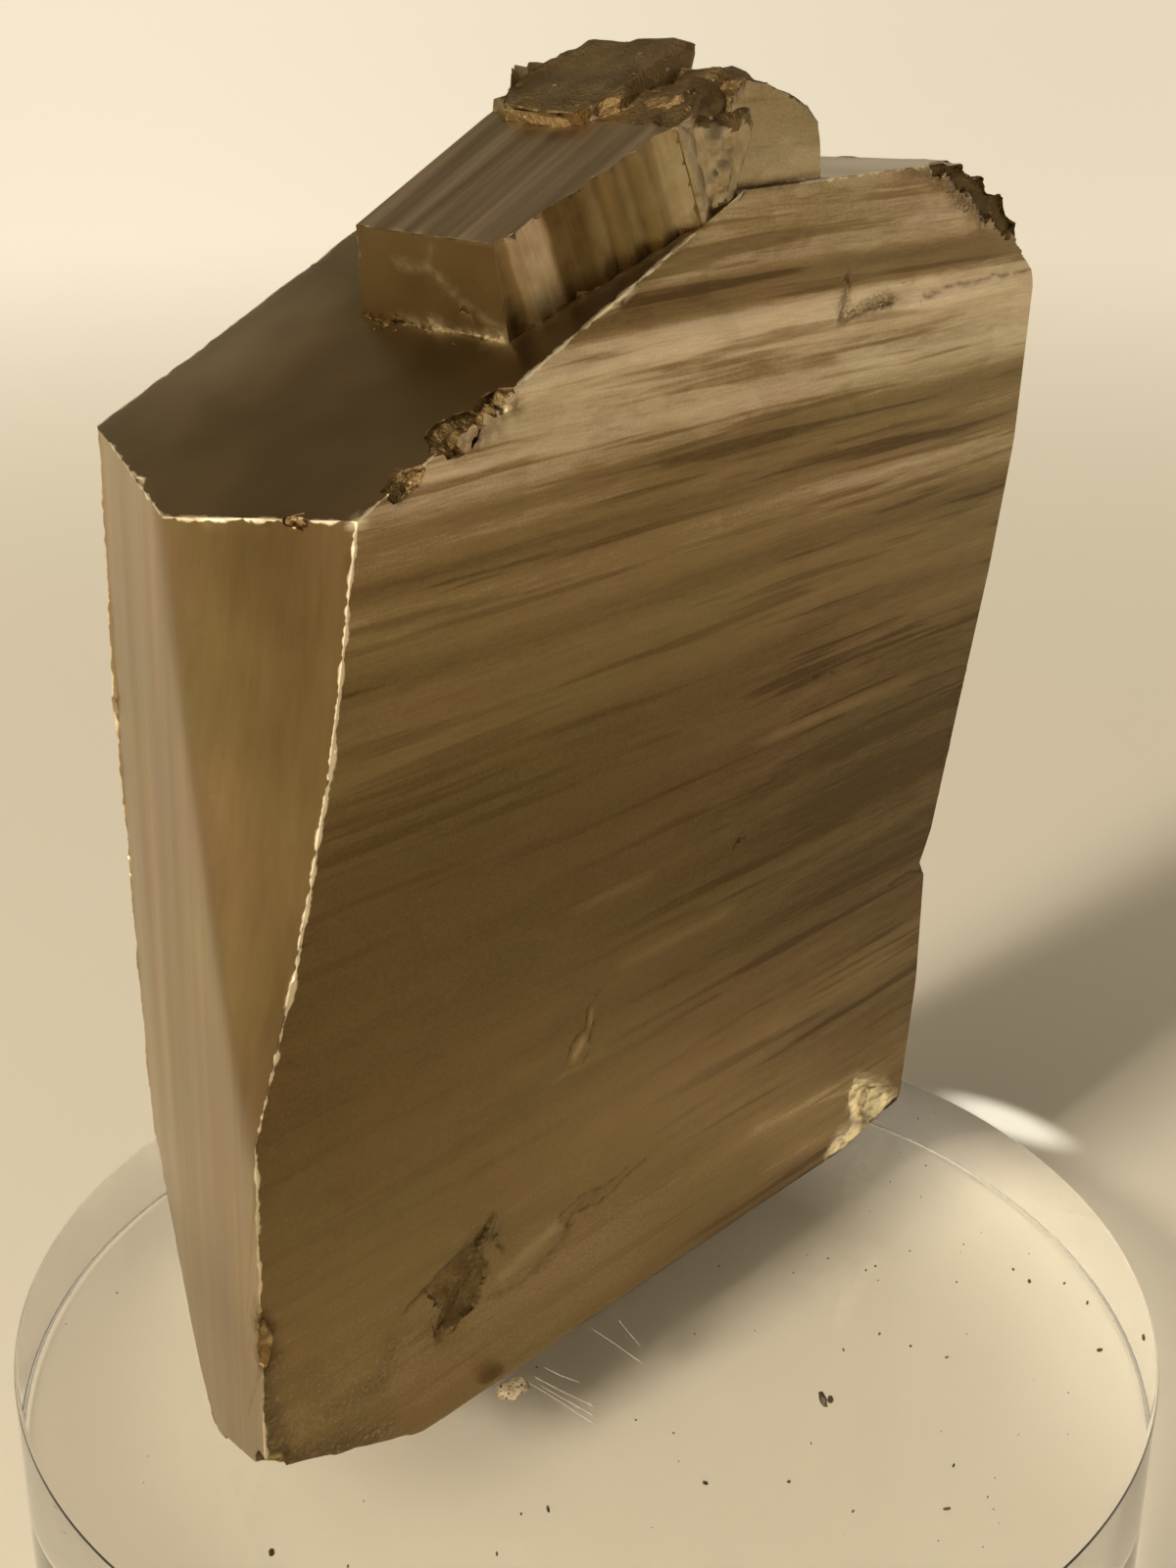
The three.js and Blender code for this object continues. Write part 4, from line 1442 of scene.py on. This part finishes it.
class PYRITE_OT_disc(bpy.types.Operator):
    """Build the clear acrylic disc with its polished edges"""

    bl_idname = "pyrite.disc"
    bl_label = "Disc"

    def execute(self, context):
        settings = context.scene.pyrite_disc
        radius, top, edge, foot = DISC_HIGH.x, DISC_HIGH.z, settings.edge, settings.foot
        corner = [math.radians(90 * i / 4) for i in range(5)]
        low = [(radius - foot + foot * math.sin(a), foot - foot * math.cos(a)) for a in corner]
        high = [(radius - edge + edge * math.cos(a), top - edge + edge * math.sin(a)) for a in corner]
        # Rings close beside the roundings keep the flat parts evenly shaded.
        beside = 0.1 * MM
        wall = [(radius, foot + beside), (radius, top - edge - beside)]
        under, over = (radius - foot - beside, 0.0), (radius - edge - beside, top)
        mesh = turned_mesh("acrylic_disc", [under, *low, *wall, *high, over], settings.sides)
        disc = new_object("acrylic_disc", mesh)
        mesh.materials.append(acrylic_material(settings))
        mesh.shade_smooth()
        mesh.set_sharp_from_angle(angle=math.radians(40))
        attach(disc, "root")
        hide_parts("acrylic_base")
        return {"FINISHED"}


class PYRITE_OT_tack(bpy.types.Operator):
    """Build the dab of mounting tack at the foot of the front face"""

    bl_idname = "pyrite.tack"
    bl_label = "Tack"

    def execute(self, context):
        settings = context.scene.pyrite_dust
        bm = merged_copy("mounting_tack")
        for _ in range(2):
            bmesh.ops.subdivide_edges(bm, edges=bm.edges[:], cuts=1, use_grid_fill=True)
        for _ in range(3):
            axes = {"use_axis_x": True, "use_axis_y": True, "use_axis_z": True}
            bmesh.ops.smooth_vert(bm, verts=bm.verts[:], factor=0.5, **axes)
        random = np.random.default_rng(3)
        for vert in bm.verts:
            if vert.co.z > TACK_LOW.z + 0.05 * MM:
                vert.co += vert.normal * float(random.normal(0, 0.05)) * MM
        mesh = finished_mesh("tack_dab", bm)
        dab = new_object("tack_dab", mesh)
        mesh.materials.append(tack_material(settings))
        mesh.transform(Matrix.Translation((0, 0, -TACK_LOW.z)))
        mesh.transform(Matrix.Diagonal((1, 1, settings.tack_squash, 1)))
        mesh.transform(Matrix.Translation((0, 0, DISC_HIGH.z + 0.02 * MM)))
        mesh.shade_smooth()
        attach(dab, "root")
        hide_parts("mounting_tack")
        return {"FINISHED"}


# Scratches on the top of the disc, as X and Y from end to end.
SCRATCHES = [
    [(-10.3, -3.8), (-10.3, -7.0), (-10.5, -10.1)],
    [(-3.4, -3.5), (-3.6, -6.0), (-3.9, -8.3)],
    [(-8.5, -4.0), (-8.4, -5.2), (-8.1, -6.6)],
    [(-9.6, -4.2), (-9.5, -6.4), (-9.2, -8.8)],
    [(-10.0, -5.0), (-9.9, -9.4)],
    [(-1.5, -4.2), (-2.6, -7.0)],
]

# Grit lying on the disc: the larger grains as X, Y and size, how far out the finer ones lie, and the
# stone's foot, as X and Y, that they keep clear of.
GRIT_REACH = 36.5
FOOT_X = (-31, 35)
FOOT_Y = (-3.6, 22.4)
GRAINS = [
    (0.9, -19.3, 0.42),
    (-10.0, -18.6, 0.20),
    (-18.0, -13.2, 0.18),
    (-31.3, -4.0, 0.24),
    (-6.5, -22.2, 0.12),
    (-2.1, -30.5, 0.18),
    (1.4, -28.7, 0.12),
    (17.4, -29.6, 0.16),
    (20.5, -31.1, 0.20),
    (20.9, -22.2, 0.14),
    (10.0, -22.6, 0.10),
    (21.4, -26.4, 0.14),
    (1.3, -19.6, 0.26),
]


def grain_tree(material):
    """Geometry Nodes that put a turned, uneven grain on every point."""
    wiring, given = new_tree("pyrite_grit", {"Seed": "Int"})
    size = wiring.add("GeometryNodeInputNamedAttribute", {"Name": "size"}, data_type="FLOAT").outputs[0]
    grain = wiring.add("GeometryNodeMeshIcoSphere", {"Radius": 1.0, "Subdivisions": 1})
    turn = wiring.add("FunctionNodeRandomValue", {"Seed": given["Seed"]}, data_type="FLOAT_VECTOR")
    turn.inputs["Max"].default_value = (6.28, 6.28, 6.28)
    long = wiring.times(size, 1.5)
    thin = wiring.times(size, 0.6)
    sockets = {
        "Points": given["Geometry"],
        "Instance": grain.outputs["Mesh"],
        "Rotation": turn.outputs[0],
        "Scale": wiring.join(long, size, thin),
    }
    placed = wiring.add("GeometryNodeInstanceOnPoints", sockets)
    return end_tree(wiring, placed.outputs[0], material)


def scratch_tree(material):
    """Geometry Nodes that sweep a thin round section along every line."""
    wiring, given = new_tree("acrylic_scratches", {"Width": "Float"})
    curve = wiring.add("GeometryNodeMeshToCurve", {"Mesh": given["Geometry"]})
    radius = wiring.times(given["Width"], 0.5)
    section = wiring.add("GeometryNodeCurvePrimitiveCircle", {"Resolution": 5, "Radius": radius})
    sockets = {"Curve": curve.outputs[0], "Profile Curve": section.outputs[0]}
    swept = wiring.add("GeometryNodeCurveToMesh", sockets)
    swept.inputs["Fill Caps"].default_value = True
    return end_tree(wiring, swept.outputs[0], material)


class PYRITE_OT_grit(bpy.types.Operator):
    """Scatter grit shed by the stone over the top of the disc"""

    bl_idname = "pyrite.grit"
    bl_label = "Grit"

    def execute(self, context):
        settings = context.scene.pyrite_dust
        random = np.random.default_rng(settings.seed)
        grains = list(GRAINS)
        while len(grains) < settings.grains:
            x, y = random.uniform(-37, 37, 2)
            size = 0.04 + 0.07 * random.random() ** 2
            under = FOOT_X[0] < x < FOOT_X[1] and FOOT_Y[0] < y < FOOT_Y[1]
            if math.hypot(x, y) < GRIT_REACH and not under:
                grains.append((x, y, size))
        mesh = bpy.data.meshes.new("pyrite_grit")
        top = DISC_HIGH.z
        mesh.from_pydata([(x * MM, y * MM, top + 0.45 * size * MM) for x, y, size in grains], [], [])
        store(mesh, "size", [size * MM for _, _, size in grains])
        grit = new_object("pyrite_grit", mesh)
        run_tree(grit, grain_tree(grain_material(settings)), {"Seed": settings.seed})
        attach(grit, "root")
        return {"FINISHED"}


class PYRITE_OT_scratches(bpy.types.Operator):
    """Draw the scratches on the top of the disc"""

    bl_idname = "pyrite.scratches"
    bl_label = "Scratches"

    def execute(self, context):
        settings = context.scene.pyrite_disc
        points, edges = [], []
        for line in SCRATCHES:
            for i, (x, y) in enumerate(line):
                points.append((x * MM, y * MM, DISC_HIGH.z + 0.3 * settings.scratch_width))
                if i:
                    edges.append((len(points) - 2, len(points) - 1))
        mesh = bpy.data.meshes.new("acrylic_scratches")
        mesh.from_pydata(points, edges, [])
        scratches = new_object("acrylic_scratches", mesh)
        run_tree(scratches, scratch_tree(scratch_material(settings)), {"Width": settings.scratch_width})
        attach(scratches, "root")
        return {"FINISHED"}


def new_lamp(name, kind, place, target, power, colour):
    """A lamp at a place, turned to a target."""
    lamp = bpy.data.lights.new(name, kind)
    lamp.energy = power
    lamp.color = colour
    obj = new_object(name, lamp)
    obj.location = place
    obj.rotation_euler = (target - place).to_track_quat("-Z", "Y").to_euler()
    obj.visible_transmission = False
    return obj


def floor_material(settings):
    """A pale floor with painted light: it glows far off, in a painted caustic beside the disc and under the
    disc's right rim.
    """
    material, wiring, shader = new_material("floor")
    shader.inputs["Base Color"].default_value = (*settings.floor, 1.0)
    shader.inputs["Roughness"].default_value = 0.9
    place = object_place(wiring)
    away = wiring.length(place)
    across = wiring.dot(place, (0.67, -0.742, 0))
    aside = wiring.span(wiring.math("DIVIDE", across, away), -0.25, 0.25, 1.0, 0.70)
    painted_glow = wiring.times(wiring.span(away, 120 * MM, 660 * MM), aside)
    # Painted caustic: a bright patch on the floor beside the disc.
    painted_caustic = wiring.vector("DIVIDE", wiring.vector("SUBTRACT", place, mm(57.3, 1.0, 0)), mm(3.4, 8.5, 1000))
    painted_glow = wiring.plus(painted_glow, wiring.times(wiring.span(wiring.length(painted_caustic), 1.0, 0.25), 1.7))
    # Painted light on the floor under the disc's right rim.
    side = wiring.math("DIVIDE", wiring.split(place)[0], away)
    painted_rim_light = wiring.times(wiring.span(away, 24 * MM, 36 * MM), wiring.span(away, 38.4 * MM, 38 * MM))
    painted_rim_light = wiring.times(painted_rim_light, wiring.span(side, 0.2, 0.7))
    painted_glow = wiring.plus(painted_glow, wiring.times(painted_rim_light, 0.25))
    shader.inputs["Emission Color"].default_value = (*settings.painted_floor_light, 1.0)
    wiring.feed(shader.inputs["Emission Strength"], painted_glow)
    return material


def surroundings(settings):
    """Soft light from all round, darker overhead, with a broad window on the left."""
    world = bpy.data.worlds.new("surroundings")
    world.use_nodes = True
    world.node_tree.nodes.clear()
    wiring = Wiring(world.node_tree)
    way = wiring.add("ShaderNodeTexCoord").outputs["Generated"]
    colour = wiring.tint(wiring.span(wiring.split(way)[2], 0.0, 0.55), settings.horizon, settings.zenith)
    toward = Vector(settings.window_way).normalized()
    window = wiring.times(wiring.span(wiring.dot(way, toward), 0.70, 0.98), settings.window_strength)
    lit = wiring.vector("ADD", colour, wiring.scale(settings.key_colour, window))
    light = wiring.add("ShaderNodeBackground", {"Color": lit, "Strength": 1.0})
    output = wiring.add("ShaderNodeOutputWorld")
    world.node_tree.links.new(light.outputs[0], output.inputs[0])
    return world


class PYRITE_OT_stage(bpy.types.Operator):
    """Set the floor, the lamp, the soft surroundings and the camera"""

    bl_idname = "pyrite.stage"
    bl_label = "Stage"

    def execute(self, context):
        settings = context.scene.pyrite_stage
        bm = bmesh.new()
        bmesh.ops.create_grid(bm, x_segments=1, y_segments=1, size=6.0)
        mesh = finished_mesh("floor", bm)
        floor = new_object("floor", mesh)
        mesh.materials.append(floor_material(settings))
        mesh.transform(Matrix.Translation((0, 0, -0.2 * MM)))
        context.scene.world = surroundings(settings)
        warm = settings.key_colour
        key = new_lamp("key", "AREA", mm(-520, 20, 400), mm(0, 0, 30), settings.key_power, warm)
        key.data.shape = "DISK"
        key.data.size = 90 * MM
        sun = new_lamp("sun", "SUN", mm(0, 0, 500), mm(520, -20, 130), settings.sun_power, warm)
        sun.data.angle = math.radians(9)
        blockers = bpy.data.collections.new("sun_blockers")
        for obj in context.scene.objects:
            if obj.type == "MESH" and obj.name not in ("acrylic_disc", *frame["nodes"]):
                blockers.objects.link(obj)
        sun.light_linking.blocker_collection = blockers
        lens = bpy.data.cameras.new("camera")
        lens.lens = settings.lens
        lens.sensor_width = 36
        lens.clip_start = 0.005
        lens.clip_end = 20
        camera = new_object("camera", lens)
        camera.location = settings.camera_place
        camera.rotation_euler = settings.camera_turn
        context.scene.camera = camera
        context.scene.view_settings.view_transform = "Standard"
        return {"FINISHED"}


class PYRITE_PT_panel(bpy.types.Panel):
    """Builds the specimen piece by piece"""

    bl_idname = "PYRITE_PT_panel"
    bl_label = "Pyrite specimen"
    bl_space_type = "VIEW_3D"
    bl_region_type = "UI"
    bl_category = "Pyrite"

    def draw(self, context):
        for step in STEPS:
            self.layout.operator(step.bl_idname)


STEPS = (
    PYRITE_OT_crystal,
    PYRITE_OT_disc,
    PYRITE_OT_scratches,
    PYRITE_OT_tack,
    PYRITE_OT_grit,
    PYRITE_OT_stage,
)
GROUPS = {
    "pyrite_crystal": CrystalSettings,
    "pyrite_disc": DiscSettings,
    "pyrite_dust": DustSettings,
    "pyrite_stage": StageSettings,
}


def register():
    for cls in (*GROUPS.values(), *STEPS, PYRITE_PT_panel):
        bpy.utils.register_class(cls)
    for name, group in GROUPS.items():
        setattr(bpy.types.Scene, name, PointerProperty(type=group))


def unregister():
    for name in GROUPS:
        delattr(bpy.types.Scene, name)
    for cls in reversed((*GROUPS.values(), *STEPS, PYRITE_PT_panel)):
        bpy.utils.unregister_class(cls)


def main():
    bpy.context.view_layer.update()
    register()
    bpy.ops.pyrite.crystal()
    bpy.ops.pyrite.disc()
    bpy.ops.pyrite.scratches()
    bpy.ops.pyrite.tack()
    bpy.ops.pyrite.grit()
    bpy.ops.pyrite.stage()
    for node in frame["nodes"].values():
        node.hide_render = True


if __name__ == "__main__":
    main()
